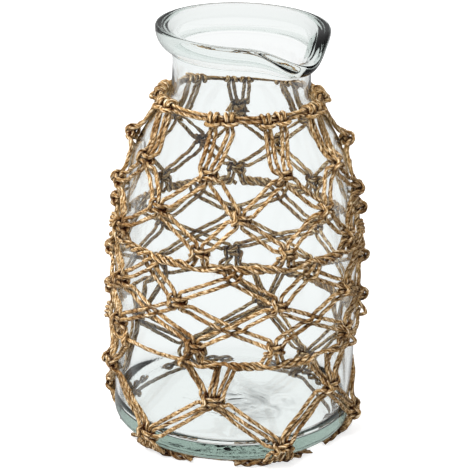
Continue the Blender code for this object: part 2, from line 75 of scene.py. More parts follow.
def smooth_way(points: np.ndarray, gaps: np.ndarray, spacing: float | np.ndarray) -> np.ndarray:
    """Smooth curve through points of any kind, by the centripetal Catmull-Rom rule.

    Args:
        points: One row for each point.
        gaps: Real distance from each point to the next.
        spacing: Real distance wanted between two rows of the result, or one for each gap.

    Returns:
        Rows along the curve, the first and last point among them.
    """
    counts = np.maximum(1, np.round(gaps / spacing)).astype(int)
    times = np.concatenate(([0.0], np.cumsum(np.sqrt(np.maximum(gaps, LEAST_GAP)))))
    points = np.vstack((2 * points[0] - points[1], points, 2 * points[-1] - points[-2]))
    times = np.concatenate(([-times[1]], times, [2 * times[-1] - times[-2]]))
    stretches = []
    for index in range(1, len(points) - 2):
        knots = times[index - 1:index + 3]
        around = points[index - 1:index + 3]
        at = np.linspace(knots[1], knots[2], counts[index - 1], endpoint=False)[:, None]
        near = [
            ((knots[k + 1] - at) * around[k] + (at - knots[k]) * around[k + 1])
            / (knots[k + 1] - knots[k])
            for k in range(3)
        ]
        pairs = [
            ((knots[k + 2] - at) * near[k] + (at - knots[k]) * near[k + 1])
            / (knots[k + 2] - knots[k])
            for k in range(2)
        ]
        stretches.append(
            ((knots[2] - at) * pairs[0] + (at - knots[1]) * pairs[1]) / (knots[2] - knots[1])
        )
    stretches.append(points[-2:-1])
    return np.vstack(stretches)


def steps_between(points: np.ndarray) -> np.ndarray:
    """Distance from each point to the next."""
    return np.linalg.norm(np.diff(points, axis=0), axis=1)


def evenly(points: np.ndarray, spacing: float) -> np.ndarray:
    """The same line with its points an even distance apart.

    Args:
        points: Points in space along a line.
        spacing: Distance wanted between two points.

    Returns:
        Points along the line, close to that distance apart.
    """
    along = np.concatenate(([0.0], np.cumsum(steps_between(points))))
    wanted = np.linspace(0.0, along[-1], max(2, round(along[-1] / spacing) + 1))
    return np.column_stack([np.interp(wanted, along, points[:, axis]) for axis in range(3)])


def grey(level: float) -> Colour:
    """Plain grey of a level from 0 to 1."""
    return (level, level, level, 1.0)


def add_object(name: str, data: bpy.types.ID) -> bpy.types.Object:
    """Add an object to the scene, at the origin and unturned.

    Args:
        name: Name of the object.
        data: Its mesh, curve, lamp or camera.

    Returns:
        The object.
    """
    made = bpy.data.objects.new(name, data)
    bpy.context.scene.collection.objects.link(made)
    return made


def drop(unwanted: bpy.types.Object) -> None:
    """Remove a helper object that isn't part of the vase."""
    bpy.data.objects.remove(unwanted, do_unlink=True)


def mesh_of(curve: bpy.types.Curve) -> bpy.types.Mesh:
    """Make a mesh of a curve and its bevel.

    Args:
        curve: The curve.

    Returns:
        The mesh.
    """
    source = add_object(curve.name, curve)
    graph = bpy.context.evaluated_depsgraph_get()
    mesh = bpy.data.meshes.new_from_object(source.evaluated_get(graph))
    drop(source)
    return mesh


def object_of(name: str, shape: bmesh.types.BMesh,
              material: bpy.types.Material) -> bpy.types.Object:
    """Make an object of a shape, and free the shape.

    Args:
        name: Name of the object.
        shape: The shape.
        material: Its material.

    Returns:
        The object.
    """
    mesh = bpy.data.meshes.new(name)
    shape.to_mesh(mesh)
    shape.free()
    mesh.materials.append(material)
    return add_object(name, mesh)


class Nodes:
    """Short way to lay out the nodes of one material or world."""

    def __init__(self, owner: bpy.types.Material | bpy.types.World) -> None:
        """Start with an empty node tree.

        Args:
            owner: The material or world.
        """
        owner.use_nodes = True
        self.tree = owner.node_tree
        self.tree.nodes.clear()

    def add(self, kind: str, inputs: dict[str | int, object] | None = None,
            **settings: object) -> bpy.types.Node:
        """Add a node.

        Args:
            kind: The node's type, without its ShaderNode prefix.
            inputs: A socket to join or a value to set, by the input's name or number.
            settings: Settings of the node by name.

        Returns:
            The new node.
        """
        node = self.tree.nodes.new("ShaderNode" + kind)
        for name, value in settings.items():
            setattr(node, name, value)
        for name, value in (inputs or {}).items():
            if isinstance(value, bpy.types.NodeSocket):
                self.tree.links.new(value, node.inputs[name])
            else:
                node.inputs[name].default_value = value
        return node

    def math(self, operation: str, *values: object) -> bpy.types.NodeSocket:
        """Add a maths node on sockets or numbers."""
        return self.add("Math", dict(enumerate(values)), operation=operation).outputs["Value"]

    def times(self, first: object, second: object) -> bpy.types.NodeSocket:
        """Add the product of two sockets or numbers."""
        return self.math("MULTIPLY", first, second)

    def distance(self, along: object, across: object) -> bpy.types.NodeSocket:
        """Add the distance that two square measures make."""
        squares = self.times(along, along), self.times(across, across)
        return self.math("SQRT", self.math("ADD", *squares))

    def seen_in_glass(self, path: bpy.types.Node) -> bpy.types.NodeSocket:
        """Add a test for a mirrored or bent ray of sight.

        Args:
            path: The Light Path node.

        Returns:
            1 for such a ray, and 0 for scattered light.
        """
        mirrored, bent = path.outputs["Is Glossy Ray"], path.outputs["Is Transmission Ray"]
        scattered = self.math("MINIMUM", path.outputs["Diffuse Depth"], 1.0)
        either = self.math("MAXIMUM", mirrored, bent)
        return self.times(either, self.math("SUBTRACT", 1.0, scattered))

    def mirror_only(self, path: bpy.types.Node) -> bpy.types.NodeSocket:
        """Add a test for a mirrored ray, which is 0 for one bent by glass."""
        mirrored, bent = path.outputs["Is Glossy Ray"], path.outputs["Is Transmission Ray"]
        return self.math("MAXIMUM", self.math("SUBTRACT", mirrored, bent), 0.0)

    def fade(self, value: object, start: float, end: float,
             most: float = 1.0) -> bpy.types.NodeSocket:
        """Add a climb from 0 to a most, while a value goes from a start to an end.

        Args:
            value: The value.
            start: Where the climb starts.
            end: Where it ends.
            most: What it climbs to.

        Returns:
            The output socket.
        """
        inputs = {"Value": value, "From Min": start, "From Max": end, "To Max": most}
        return self.add("MapRange", inputs).outputs["Result"]

    def noise(self, place: object, scale: float, detail: float, roughness: float = 0.5,
              distortion: float = 0.0) -> bpy.types.NodeSocket:
        """Add a cloudy noise.

        Args:
            place: Where it is read.
            scale: How fine its clouds are.
            detail: How many finer layers lie on them.
            roughness: How strong those layers are.
            distortion: How much the clouds swirl.

        Returns:
            The noise, from 0 to 1.
        """
        inputs = {
            "Vector": place, "Scale": scale, "Detail": detail,
            "Roughness": roughness, "Distortion": distortion,
        }
        return self.add("TexNoise", inputs).outputs["Fac"]

    def bump(self, height: object, depth: float, strength: object,
             under: object = None) -> bpy.types.NodeSocket:
        """Add a bump.

        Args:
            height: Height of the surface, from 0 to 1.
            depth: Distance that a height of 1 stands for.
            strength: How much of it shows.
            under: Normal of the bump that it lies on, if any.

        Returns:
            The bent normal.
        """
        inputs = {"Height": height, "Distance": depth, "Strength": strength}
        if under is not None:
            inputs["Normal"] = under
        return self.add("Bump", inputs).outputs["Normal"]

    def ramp(self, factor: object, stops: list[tuple[float, Colour]]) -> bpy.types.NodeSocket:
        """Add a colour ramp.

        Args:
            factor: What it reads.
            stops: Place and colour of each stop.

        Returns:
            The colour output.
        """
        node = self.add("ValToRGB", {"Fac": factor})
        first, last = node.color_ramp.elements
        first.position, first.color = stops[0]
        last.position, last.color = stops[-1]
        for position, colour in stops[1:-1]:
            node.color_ramp.elements.new(position).color = colour
        return node.outputs["Color"]

    def mix(self, factor: object, first: object, second: object,
            how: str = "MIX") -> bpy.types.NodeSocket:
        """Add a colour mix.

        Args:
            factor: A socket or a number.
            first: A socket or a colour.
            second: A socket or a colour.
            how: The kind of mix.

        Returns:
            The colour output.
        """
        # A Mix node has several sockets of each name; these numbers are the colour ones
        inputs = {0: factor, 6: first, 7: second}
        return self.add("Mix", inputs, data_type="RGBA", blend_type=how).outputs[2]


@dataclass(frozen=True)
class GlassFinish:
    """Clear blown glass with a breath of sea green and slightly wavy walls.

    The corner of the base is full of seeds, and its middle has the swirls that blowing
    leaves, and a painted grey cloud that stands for reflections seen in the base. Lamps
    shine straight through the glass, so that they light the cords behind.
    """

    name: str = "clear_glass"
    tint: Colour = (0.985, 1.0, 1.0, 1.0)
    lamp_tint: Colour = (0.97, 0.97, 0.96, 1.0)
    depth_colour: Colour = (0.31, 0.48, 0.40, 1.0)
    depth_density: float = 12.0
    ior: float = 1.5
    head_on_shine: Colour = grey(0.3)
    waves_per_metre: float = 26.0
    wave_detail: float = 1.0
    wave_depth: float = 2 * MM
    wave_strength: float = 0.05
    low_down: Pair = (14 * MM, 4.2 * MM)
    low_strength: float = 0.8
    seeds_per_metre: float = 420.0
    seed_detail: float = 3.0
    seed_depth: float = 0.5 * MM
    seeds_outside: Pair = (58 * MM, 66 * MM)
    swirls_per_metre: float = 55.0
    swirl_detail: float = 2.0
    swirl_distortion: float = 1.5
    swirl_depth: float = 3 * MM
    swirl_strength: float = 0.5
    swirls_inside: Pair = (40 * MM, 14 * MM)
    painted_reflection_grey: Colour = (0.08, 0.085, 0.09, 1.0)
    cloud_centre: Pair = (9 * MM, 10 * MM)
    cloud_inside: Pair = (30 * MM, 17 * MM)
    cloud_edge: Pair = (0.38, 0.62)

    def surface(self, nodes: Nodes) -> tuple[bpy.types.NodeSocket, bpy.types.NodeSocket]:
        """Lay out the waves, the seeds, the swirls and the cloud.

        Args:
            nodes: The nodes of the material.

        Returns:
            The colour and the normal.
        """
        place = nodes.add("TexCoord").outputs["Object"]
        along, across, up = nodes.add("SeparateXYZ", {"Vector": place}).outputs
        low = nodes.fade(up, *self.low_down, self.low_strength)
        radius = nodes.distance(along, across)
        waves = nodes.noise(place, self.waves_per_metre, self.wave_detail)
        normal = nodes.bump(waves, self.wave_depth, self.wave_strength)
        swirls = nodes.noise(
            place, self.swirls_per_metre, self.swirl_detail, distortion=self.swirl_distortion,
        )
        strength = nodes.times(low, nodes.fade(radius, *self.swirls_inside, self.swirl_strength))
        normal = nodes.bump(swirls, self.swirl_depth, strength, normal)
        seeds = nodes.noise(place, self.seeds_per_metre, self.seed_detail)
        strength = nodes.times(low, nodes.fade(radius, *self.seeds_outside))
        normal = nodes.bump(seeds, self.seed_depth, strength, normal)
        # painted reflection: a grey cloud in the middle of the base, mixed into the glass colour
        reach = nodes.distance(
            nodes.math("SUBTRACT", along, self.cloud_centre[0]),
            nodes.math("SUBTRACT", across, self.cloud_centre[1]),
        )
        cloud = nodes.times(low, nodes.fade(reach, *self.cloud_inside))
        cloud = nodes.times(cloud, nodes.fade(swirls, *self.cloud_edge))
        return nodes.mix(cloud, self.tint, self.painted_reflection_grey), normal

    def material(self) -> bpy.types.Material:
        """Make the glass, with its colour held in its thickness.

        Returns:
            The material.
        """
        made = bpy.data.materials.new(self.name)
        nodes = Nodes(made)
        colour, normal = self.surface(nodes)
        shader = nodes.add("BsdfPrincipled", {
            "Base Color": colour, "Normal": normal, "Roughness": 0.0, "IOR": self.ior,
            "Transmission Weight": 1.0, "Specular Tint": self.head_on_shine,
        })
        clear = nodes.add("BsdfTransparent", {"Color": self.lamp_tint})
        both = nodes.add("MixShader", {
            "Fac": nodes.add("LightPath").outputs["Is Shadow Ray"],
            1: shader.outputs["BSDF"], 2: clear.outputs["BSDF"],
        })
        depth = nodes.add("VolumeAbsorption", {
            "Color": self.depth_colour, "Density": self.depth_density,
        })
        nodes.add("OutputMaterial", {
            "Surface": both.outputs["Shader"], "Volume": depth.outputs["Volume"],
        })
        return made


@dataclass(frozen=True)
class JuteFinish:
    """Raw jute twine: pale straw fibres with brown streaks; painted shade in ply grooves and
    knots.
    """

    name: str = "jute_twine"
    dark: Colour = (0.075, 0.03, 0.009, 1.0)
    middle: Colour = (0.56, 0.36, 0.15, 1.0)
    light: Colour = (1.0, 0.88, 0.66, 1.0)
    streak_stops: tuple[float, float, float] = (0.41, 0.51, 0.62)
    streak_detail: float = 5.0
    streak_roughness: float = 0.65
    fibre_length: float = 2.6 * MM
    fibres_round: float = 7.0
    dull_patch: Colour = (0.62, 0.52, 0.42, 1.0)
    pale_patch: Colour = (1.25, 1.22, 1.18, 1.0)
    patch_stops: tuple[float, float, float] = (0.32, 0.50, 0.68)
    patches_per_metre: float = 55.0
    patch_detail: float = 2.0
    plies: int = 3
    # painted shade in the grooves between the plies
    painted_groove_shade: Colour = (0.62, 0.48, 0.33, 1.0)
    groove_shade_stops: Pair = (0.0, 0.45)
    # painted shade where strands crowd round a cord, in knots and crevices
    painted_crevice_shade: Colour = (0.10, 0.038, 0.012, 1.0)
    crevice_shade_stops: Pair = (0.05, 0.7)
    roughness: float = 0.82
    shine: float = 0.12
    sheen: float = 0.03
    sheen_roughness: float = 0.5
    fibre_depth: float = 0.25 * MM
    fibre_strength: float = 0.6

    def material(self) -> bpy.types.Material:
        """Make the twine, with streaks that follow each cord's own length.

        Returns:
            The material.
        """
        made = bpy.data.materials.new(self.name)
        nodes = Nodes(made)
        place = nodes.add("UVMap", uv_map="UVMap").outputs["UV"]
        stretched = nodes.add("Mapping", {
            "Vector": place, "Scale": (1 / self.fibre_length, self.fibres_round, 1.0),
        })
        streaks = nodes.noise(
            stretched.outputs["Vector"], 1.0, self.streak_detail, self.streak_roughness,
        )
        colours = (self.dark, self.middle, self.light)
        colour = nodes.ramp(streaks, list(zip(self.streak_stops, colours)))
        everywhere = nodes.add("TexCoord").outputs["Object"]
        patches = nodes.noise(everywhere, self.patches_per_metre, self.patch_detail)
        casts = (self.dull_patch, WHITE, self.pale_patch)
        cast = nodes.ramp(patches, list(zip(self.patch_stops, casts)))
        colour = nodes.mix(1.0, colour, cast, "MULTIPLY")
        # painted shade: darker in the grooves between the plies, unchanged on their crests
        round_cord = nodes.add("SeparateXYZ", {"Vector": place}).outputs["Y"]
        turn = nodes.times(round_cord, FULL_TURN * self.plies)
        crest = nodes.math("MULTIPLY_ADD", nodes.math("COSINE", turn), -0.5, 0.5)
        painted_groove_shade = nodes.ramp(crest, list(zip(self.groove_shade_stops, (self.painted_groove_shade, WHITE))))
        colour = nodes.mix(1.0, colour, painted_groove_shade, "MULTIPLY")
        # painted shade read from the attribute: where strands crowd together and at the low ends
        near = nodes.add("Attribute", attribute_name=PAINTED_SHADE_ATTRIBUTE).outputs["Fac"]
        shade = nodes.ramp(near, list(zip(self.crevice_shade_stops, (WHITE, self.painted_crevice_shade))))
        colour = nodes.mix(1.0, colour, shade, "MULTIPLY")
        shader = nodes.add("BsdfPrincipled", {
            "Base Color": colour, "Roughness": self.roughness, "Specular IOR Level": self.shine,
            "Sheen Weight": self.sheen, "Sheen Roughness": self.sheen_roughness,
            "Normal": nodes.bump(streaks, self.fibre_depth, self.fibre_strength),
        })
        nodes.add("OutputMaterial", {"Surface": shader.outputs["BSDF"]})
        return made


@dataclass(frozen=True)
class FloorFinish:
    """Matt white floor that reads as a white ground, but keeps the vase's shadow."""

    name: str = "white_floor"
    colour: Colour = grey(0.62)
    lift: float = 0.70
    through_glass: float = 0.94
    mirrored: float = 0.5

    def material(self) -> bpy.types.Material:
        """Make the floor, lifted where the camera, a reflection or the glass sees it.

        Returns:
            The material.
        """
        made = bpy.data.materials.new(self.name)
        nodes = Nodes(made)
        path = nodes.add("LightPath")
        matt = nodes.add("BsdfDiffuse", {"Color": self.colour})
        lift = nodes.add("Emission", {
            "Strength": nodes.times(path.outputs["Is Camera Ray"], self.lift),
        })
        lit = nodes.add("AddShader", {0: matt.outputs["BSDF"], 1: lift.outputs["Emission"]})
        white = nodes.add("Emission", {
            "Color": nodes.mix(nodes.mirror_only(path), WHITE, grey(self.mirrored)),
        })
        both = nodes.add("MixShader", {
            "Fac": nodes.times(nodes.seen_in_glass(path), self.through_glass),
            1: lit.outputs["Shader"], 2: white.outputs["Emission"],
        })
        nodes.add("OutputMaterial", {"Surface": both.outputs["Shader"]})
        return made


@dataclass
class BottleForm:
    """Smooth section of the bottle and the way down it that the net takes.

    Side shares are of the height to the neck's foot, then of the radius from neck to
    body. Rim shares are of the radius from neck to rim, then of the rim's depth.
    """

    height: float = 236 * MM
    body_radius: float = 70.4 * MM
    neck_radius: float = 39.4 * MM
    neck_foot: float = 197 * MM
    base_corner: float = 6 * MM
    wall: float = 2.4 * MM
    floor: float = 8 * MM
    floor_corner: float = 9 * MM
    rim_radius: float = 48.6 * MM
    rim_depth: float = 15 * MM
    foot_share: float = 0.965
    lift: float = 4.59 * MM
    side_shares: tuple[Pair, ...] = (
        (0.315, 1.000), (0.508, 0.968), (0.650, 0.880), (0.772, 0.742), (0.853, 0.578),
        (0.898, 0.416), (0.944, 0.226), (0.975, 0.084), (1.000, 0.012),
    )
    rim_inner: tuple[Pair, ...] = (
        (0.00, 0.30), (0.00, 0.70), (0.01, 0.735), (0.035, 0.755), (0.12, 0.80), (0.35, 0.88),
        (0.62, 0.955),
    )
    rim_outer: tuple[Pair, ...] = (
        (0.86, 1.00), (0.96, 0.97), (1.00, 0.89), (0.99, 0.75), (0.92, 0.57), (0.78, 0.38),
        (0.55, 0.21), (0.26, 0.08), (0.03, 0.01),
    )
    spacing: float = 1.5 * MM
    wall_spacing: float = 3.0 * MM
    rim_spacing: float = 0.7 * MM
    corner_steps: int = 14
    underside_steps: int = 11
    clearance: float = 0.3 * MM
    cord_radius: float = 1.05 * MM
    pitch: float = 2.4 * MM

    def __post_init__(self) -> None:
        """Work out the run down the outside, for the net."""
        rim_foot = (self.neck_radius, self.height - self.rim_depth)
        side = np.array([rim_foot] + self.side(0.0)[::-1])
        side = smooth_way(side, steps_between(side), self.spacing)
        corner = np.array(self.corner(self.foot(), 0.0, self.base_corner)[::-1])
        inward = np.linspace(corner[-1][0], 0.0, self.underside_steps + 1)[1:]
        flat = np.column_stack((inward, np.zeros(self.underside_steps)))
        line = np.vstack((side, corner[1:], flat))
        steps = np.diff(line, axis=0)
        lean = np.arctan2(steps[:, 0], -steps[:, 1])
        self.lengths = np.concatenate(([0.0], np.cumsum(steps_between(line))))
        self.radii, self.heights = line.T
        middle = (self.lengths[1:] + self.lengths[:-1]) / 2
        self.leans = np.interp(self.lengths, middle, lean)

    def foot(self) -> float:
        """Radius of the body just above its base corner."""
        return blend(self.neck_radius, self.body_radius, self.foot_share)

    def side(self, wall: float) -> list[Pair]:
        """Side of the body from its base corner up to the neck.

        Args:
            wall: Distance in from the outside.

        Returns:
            Radius and height of each point.
        """
        start = self.floor + self.floor_corner if wall else self.base_corner
        line = [(self.foot() - wall, start)]
        for up, swell in self.side_shares:
            radius = blend(self.neck_radius, self.body_radius, swell) - wall
            line.append((radius, up * self.neck_foot))
        return line

    def corner(self, foot: float, floor: float, size: float) -> list[Pair]:
        """Quarter round from a floor up to a side.

        Args:
            foot: Radius of the side.
            floor: Height of the floor.
            size: Radius of the round.

        Returns:
            Radius and height of each point.
        """
        angles = np.linspace(0.0, math.pi / 2, self.corner_steps)
        return [
            (foot - size + size * math.sin(angle), floor + size - size * math.cos(angle))
            for angle in angles
        ]

    def section(self) -> np.ndarray:
        """Section of the glass from its inside floor, over the rim, to its underside.

        Returns:
            Radius and height of each point, both ends on the axis.
        """
        rim_foot = self.height - self.rim_depth
        middle = self.side(self.wall)
        for reach, up in self.rim_inner:
            radius = blend(self.neck_radius - self.wall, self.rim_radius, reach)
            middle.append((radius, rim_foot + up * self.rim_depth))
        for reach, up in self.rim_outer:
            radius = blend(self.neck_radius, self.rim_radius, reach)
            middle.append((radius, rim_foot + up * self.rim_depth))
        middle += self.side(0.0)[::-1]
        line = np.array(middle)
        at_rim = line[1:, 1] > rim_foot - self.rim_depth
        spacing = np.where(at_rim, self.rim_spacing, self.wall_spacing)
        line = smooth_way(line, steps_between(line), spacing)
        inner = self.corner(self.foot() - self.wall, self.floor, self.floor_corner)
        outer = self.corner(self.foot(), 0.0, self.base_corner)[::-1]
        start = [(0.0, self.floor), (inner[0][0] / 2, self.floor)]
        end = [(outer[-1][0] / 2, 0.0), (0.0, 0.0)]
        return np.vstack((start, inner[:-1], line, outer[1:], end))

    def at_height(self, height: float) -> float:
        """Length down the run to a height on the neck or side."""
        return float(np.interp(-height, -self.heights, self.lengths))

    def at_underside(self, radius: float) -> float:
        """Length down the run to a radius on the flat underside."""
        return float(self.lengths[-1] - radius)

    def reach(self, length: float, layer: float) -> float:
        """Distance from the axis of a cord at a run and a layer.

        Args:
            length: The run.
            layer: The layer.

        Returns:
            The distance.
        """
        out = self.clearance + self.cord_radius + (layer - 1) * self.pitch
        radius = np.interp(length, self.lengths, self.radii)
        return float(radius + out * math.cos(np.interp(length, self.lengths, self.leans)))

    def in_space(self, lay: np.ndarray) -> np.ndarray:
        """Places in space of turns, runs and layers.

        Args:
            lay: One row of turn, run and layer for each point.

        Returns:
            One row of x, y and z for each point.
        """
        turn, length, layer = lay.T
        lean = np.interp(length, self.lengths, self.leans)
        out = self.clearance + self.cord_radius + (layer - 1) * self.pitch
        reach = np.interp(length, self.lengths, self.radii) + out * np.cos(lean)
        height = self.lift + np.interp(length, self.lengths, self.heights) + out * np.sin(lean)
        return np.column_stack((reach * np.cos(turn), reach * np.sin(turn), height))


@dataclass
class GlassBottle:
    """The blown bottle, turned from its section and pulled into a lip."""

    form: BottleForm
    finish: GlassFinish
    turns: int = 240
    merge_within: float = 0.01 * MM
    lip_reach: float = 6 * MM
    lip_dip: float = 10.5 * MM
    lip_depth: float = 30 * MM
    lip_spread: float = math.radians(15.0)

    def pull_lip(self, shape: bmesh.types.BMesh) -> None:
        """Pull the rim outward and down into a pouring lip.

        Args:
            shape: The turned bottle.
        """
        foot = self.form.lift + self.form.height - self.lip_depth
        for vertex in shape.verts:
            rise = (vertex.co.z - foot) / self.lip_depth
            if rise <= 0:
                continue
            turn = math.atan2(vertex.co.y, vertex.co.x)
            eased = rise * rise * (3 - 2 * rise)
            pull = math.exp(-((turn / self.lip_spread) ** 2) / 2) * eased
            radius = math.hypot(vertex.co.x, vertex.co.y)
            grown = (radius + self.lip_reach * pull) / radius
            vertex.co.x *= grown
            vertex.co.y *= grown
            vertex.co.z -= self.lip_dip * pull

    def build(self) -> bpy.types.Object:
        """Turn the section into the bottle.

        Returns:
            The finished piece.
        """
        shape = bmesh.new()
        last = None
        for radius, height in self.form.section():
            vertex = shape.verts.new((radius, 0.0, self.form.lift + height))
            if last:
                shape.edges.new((last, vertex))
            last = vertex
        bmesh.ops.spin(
            shape, geom=shape.verts[:] + shape.edges[:], cent=(0, 0, 0), axis=(0, 0, 1),
            dvec=(0, 0, 0), angle=FULL_TURN, steps=self.turns, use_merge=True,
        )
        bmesh.ops.remove_doubles(shape, verts=shape.verts, dist=self.merge_within)
        bmesh.ops.recalc_face_normals(shape, faces=shape.faces)
        self.pull_lip(shape)
        made = object_of("blown_bottle", shape, self.finish.material())
        made.data.shade_smooth()
        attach(made, "root")
        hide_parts("glass_bottle")
        return made


@dataclass
class Cord:
    """One cord of the net: its piece, the CAD node it replaces and its way."""

    name: str
    node: str
    seed: int
    way: np.ndarray


@dataclass
class Twine:
    """How a cord is spun: its plies, its lay, its wander and its stray fibres.

    A patch is a length over which a noise changes. Rows are the places, some of them
    times the cord's own seed, where the noise is read across that length.
    """

    material: bpy.types.Material
    radius: float = 1.18 * MM
    spacing: float = 0.7 * MM
    merge_within: float = 0.001 * MM
    plies: int = 3
    ply_offset: float = 0.20
    ply_radius: float = 0.80
    ply_corners: tuple[float, ...] = (-60.0, -26.0, 0.0, 26.0)
    lay: float = 17.0 * MM
    lay_drift: float = 1.5
    lay_patch: float = 13 * MM
    lay_rows: Pair = (5.1, 9.0)
    unevenness: float = 0.12
    uneven_patch: float = 7 * MM
    uneven_rows: Pair = (17.3, 0.0)
    roughness: float = 0.14
    rough_patch: float = 0.9 * MM
    rough_row: float = 3.7
    wander: float = 0.16 * MM
    wander_patch: float = 6 * MM
    wander_rows: tuple[float, float, float] = (31.0, 7.0, 3.0)
    wander_seed: int = 11
    streak_shift: float = 0.37
    fibres_per_metre: float = 820.0
    fibre_radius: float = 0.05 * MM
    fibre_length: Pair = (1.8 * MM, 5.5 * MM)
    fibre_points: int = 4
    fibre_root: float = 0.86
    fibre_angle: Pair = (-2.1, 2.1)
    fibre_rise: Pair = (0.12, 0.75)
    fibre_bow: float = 0.7
    fibre_curl: Pair = (-0.5, 0.5)
    fibre_taper: float = 0.75
    bare_ends: int = 2
    crowding: float = 3.0 * MM
    full_crowd: float = 5.0
    own_reach: int = 8
    # painted shade on the cords' low ends under the glass's edge, where shade falls
    painted_low_shade_height: float = 5.0 * MM
    painted_low_shade: float = 0.4

    def __post_init__(self) -> None:
        """Draw the outline of the plies."""
        curve = bpy.data.curves.new("ply_outline", "CURVE")
        curve.dimensions = "2D"
        spline = curve.splines.new("POLY")
        places = [(ply, part) for ply in range(self.plies) for part in self.ply_corners]
        self.corners = len(places)
        spline.points.add(self.corners - 1)
        for point, (ply, part) in zip(spline.points, places):
            angle = math.radians(360 / self.plies * ply + part)
            across = self.ply_offset * math.sin(math.radians(part))
            size = self.ply_offset * math.cos(math.radians(part))
            size += math.sqrt(self.ply_radius ** 2 - across ** 2)
            size *= self.radius
            point.co = (size * math.cos(angle), size * math.sin(angle), 0.0, 1.0)
        spline.use_cyclic_u = True
        self.outline = add_object("ply_outline", curve)

    def strand(self, cord: Cord) -> bpy.types.Mesh:
        """Spin the plies along a cord's way.

        Args:
            cord: The cord, with its points evenly spaced.

        Returns:
            The mesh, with a UV map in metres along the cord and turns round it.
        """
        curve = bpy.data.curves.new(cord.name, "CURVE")
        curve.dimensions = "3D"
        curve.bevel_mode = "OBJECT"
        curve.bevel_object = self.outline
        curve.use_fill_caps = True
        curve.twist_mode = "MINIMUM"
        spline = curve.splines.new("POLY")
        spline.points.add(len(cord.way) - 1)
        step = float(np.mean(steps_between(cord.way)))
        for index, (point, place) in enumerate(zip(spline.points, cord.way)):
            point.co = (*place, 1.0)
            along = step * index
            times_seed, row = self.lay_rows
            drift = noise.noise(Vector((along / self.lay_patch, times_seed * cord.seed, row)))
            point.tilt = FULL_TURN * along / self.lay + self.lay_drift * drift
            times_seed, row = self.uneven_rows
            swell = noise.noise(Vector((along / self.uneven_patch, times_seed * cord.seed, row)))
            point.radius = 1 + self.unevenness * swell
        mesh = mesh_of(curve)
        self.roughen(mesh, cord)
        uvs = np.empty(2 * len(mesh.loops))
        mesh.uv_layers[0].uv.foreach_get("vector", uvs)
        uvs = uvs.reshape(-1, 2)
        uvs[:, 0] = uvs[:, 0] * step * (len(cord.way) - 1) + self.streak_shift * cord.seed
        mesh.uv_layers[0].uv.foreach_set("vector", uvs.ravel())
        return mesh

    def roughen(self, mesh: bpy.types.Mesh, cord: Cord) -> None:
        """Push a strand's skin in and out a little, as loose fibres do.

        Args:
            mesh: The strand's mesh, its rings in the order of the way, and then its caps.
            cord: Its cord.
        """
        row = Vector((0.0, 0.0, self.rough_row * cord.seed))
        for vertex in mesh.vertices[:len(cord.way) * self.corners]:
            middle = Vector(cord.way[vertex.index // self.corners])
            lump = noise.noise(vertex.co / self.rough_patch + row)
            vertex.co = middle + (vertex.co - middle) * (1 + self.roughness * lump)

    def fibre(self, way: np.ndarray, chance: random.Random) -> list[tuple[Vector, float]]:
        """Draw one stray fibre.

        Args:
            way: The cord's way.
            chance: Source of the fibre's place and bend.

        Returns:
            Place and share of full thickness at each point.
        """
        index = chance.randrange(self.bare_ends, len(way) - self.bare_ends)
        centre = Vector(way[index])
        along = (Vector(way[index + 1]) - Vector(way[index - 1])).normalized()
        out = Vector((centre.x, centre.y, 0.0)).normalized()
        out = (out - along * out.dot(along)).normalized()
        side = along.cross(out)
        angle = chance.uniform(*self.fibre_angle)
        away = out * math.cos(angle) + side * math.sin(angle)
        turned = side * math.cos(angle) - out * math.sin(angle)
        forward = along * chance.choice((-1, 1))
        length = chance.uniform(*self.fibre_length)
        rise = chance.uniform(*self.fibre_rise)
        curl = chance.uniform(*self.fibre_curl)
        places = []
        for count in range(self.fibre_points):
            share = count / (self.fibre_points - 1)
            place = centre + away * self.radius * self.fibre_root
            place += forward * (length * share)
            place += away * (length * rise * share * share * self.fibre_bow)
            place += turned * (length * curl * share * share)
            places.append((place, 1 - self.fibre_taper * share))
        return places

    def fuzz(self, cord: Cord) -> bpy.types.Mesh:
        """Grow stray fibres that stand off a cord, but for those that reach the floor.

        Args:
            cord: The cord.

        Returns:
            The fibres' mesh.
        """
        chance = random.Random(cord.seed)
        step = float(np.mean(steps_between(cord.way)))
        curve = bpy.data.curves.new(cord.name + "_fuzz", "CURVE")
        curve.dimensions = "3D"
        curve.bevel_depth = self.fibre_radius
        curve.bevel_resolution = 0
        curve.use_fill_caps = True
        for _ in range(round(self.fibres_per_metre * step * len(cord.way))):
            places = self.fibre(cord.way, chance)
            if min(place.z for place, _ in places) < self.fibre_radius:
                continue
            spline = curve.splines.new("POLY")
            spline.points.add(self.fibre_points - 1)
            for point, (place, thickness) in zip(spline.points, places):
                point.co = (*place, 1.0)
                point.radius = thickness
        return mesh_of(curve)

    def lay_down(self, cord: Cord) -> None:
        """Give a cord even points and a slight wander of its own.

        Args:
            cord: The cord, whose way is changed.
        """
        cord.way = evenly(cord.way, self.spacing)
        times_seed, *rows = self.wander_rows
        shift = Vector((times_seed * cord.seed, *rows))
        for index, place in enumerate(cord.way):
            drift = noise.noise_vector(Vector(place) / self.wander_patch + shift)
            cord.way[index] = Vector(place) + drift * self.wander

    def paint_crevice_shade(self, mesh: bpy.types.Mesh, cord: Cord, others: KDTree,
                 owners: list[Pair]) -> None:
        """Paint shade on a strand where other strands crowd round it, and on its low end.

        Args:
            mesh: The strand's mesh.
            cord: Its cord.
            others: Every cord's points.
            owners: Seed and step of each of those points.
        """
        rings = len(cord.way)
        places = np.empty(3 * len(mesh.vertices))
        mesh.vertices.foreach_get("co", places)
        rims = places.reshape(-1, 3)[:rings * self.corners].reshape(rings, self.corners, 3)
        shade = np.zeros(len(mesh.vertices))
        for ring, centre in enumerate(cord.way):
            near = [
                place for place, index, _ in others.find_range(centre, self.crowding + self.radius)
                if owners[index][0] != cord.seed or abs(owners[index][1] - ring) > self.own_reach
            ]
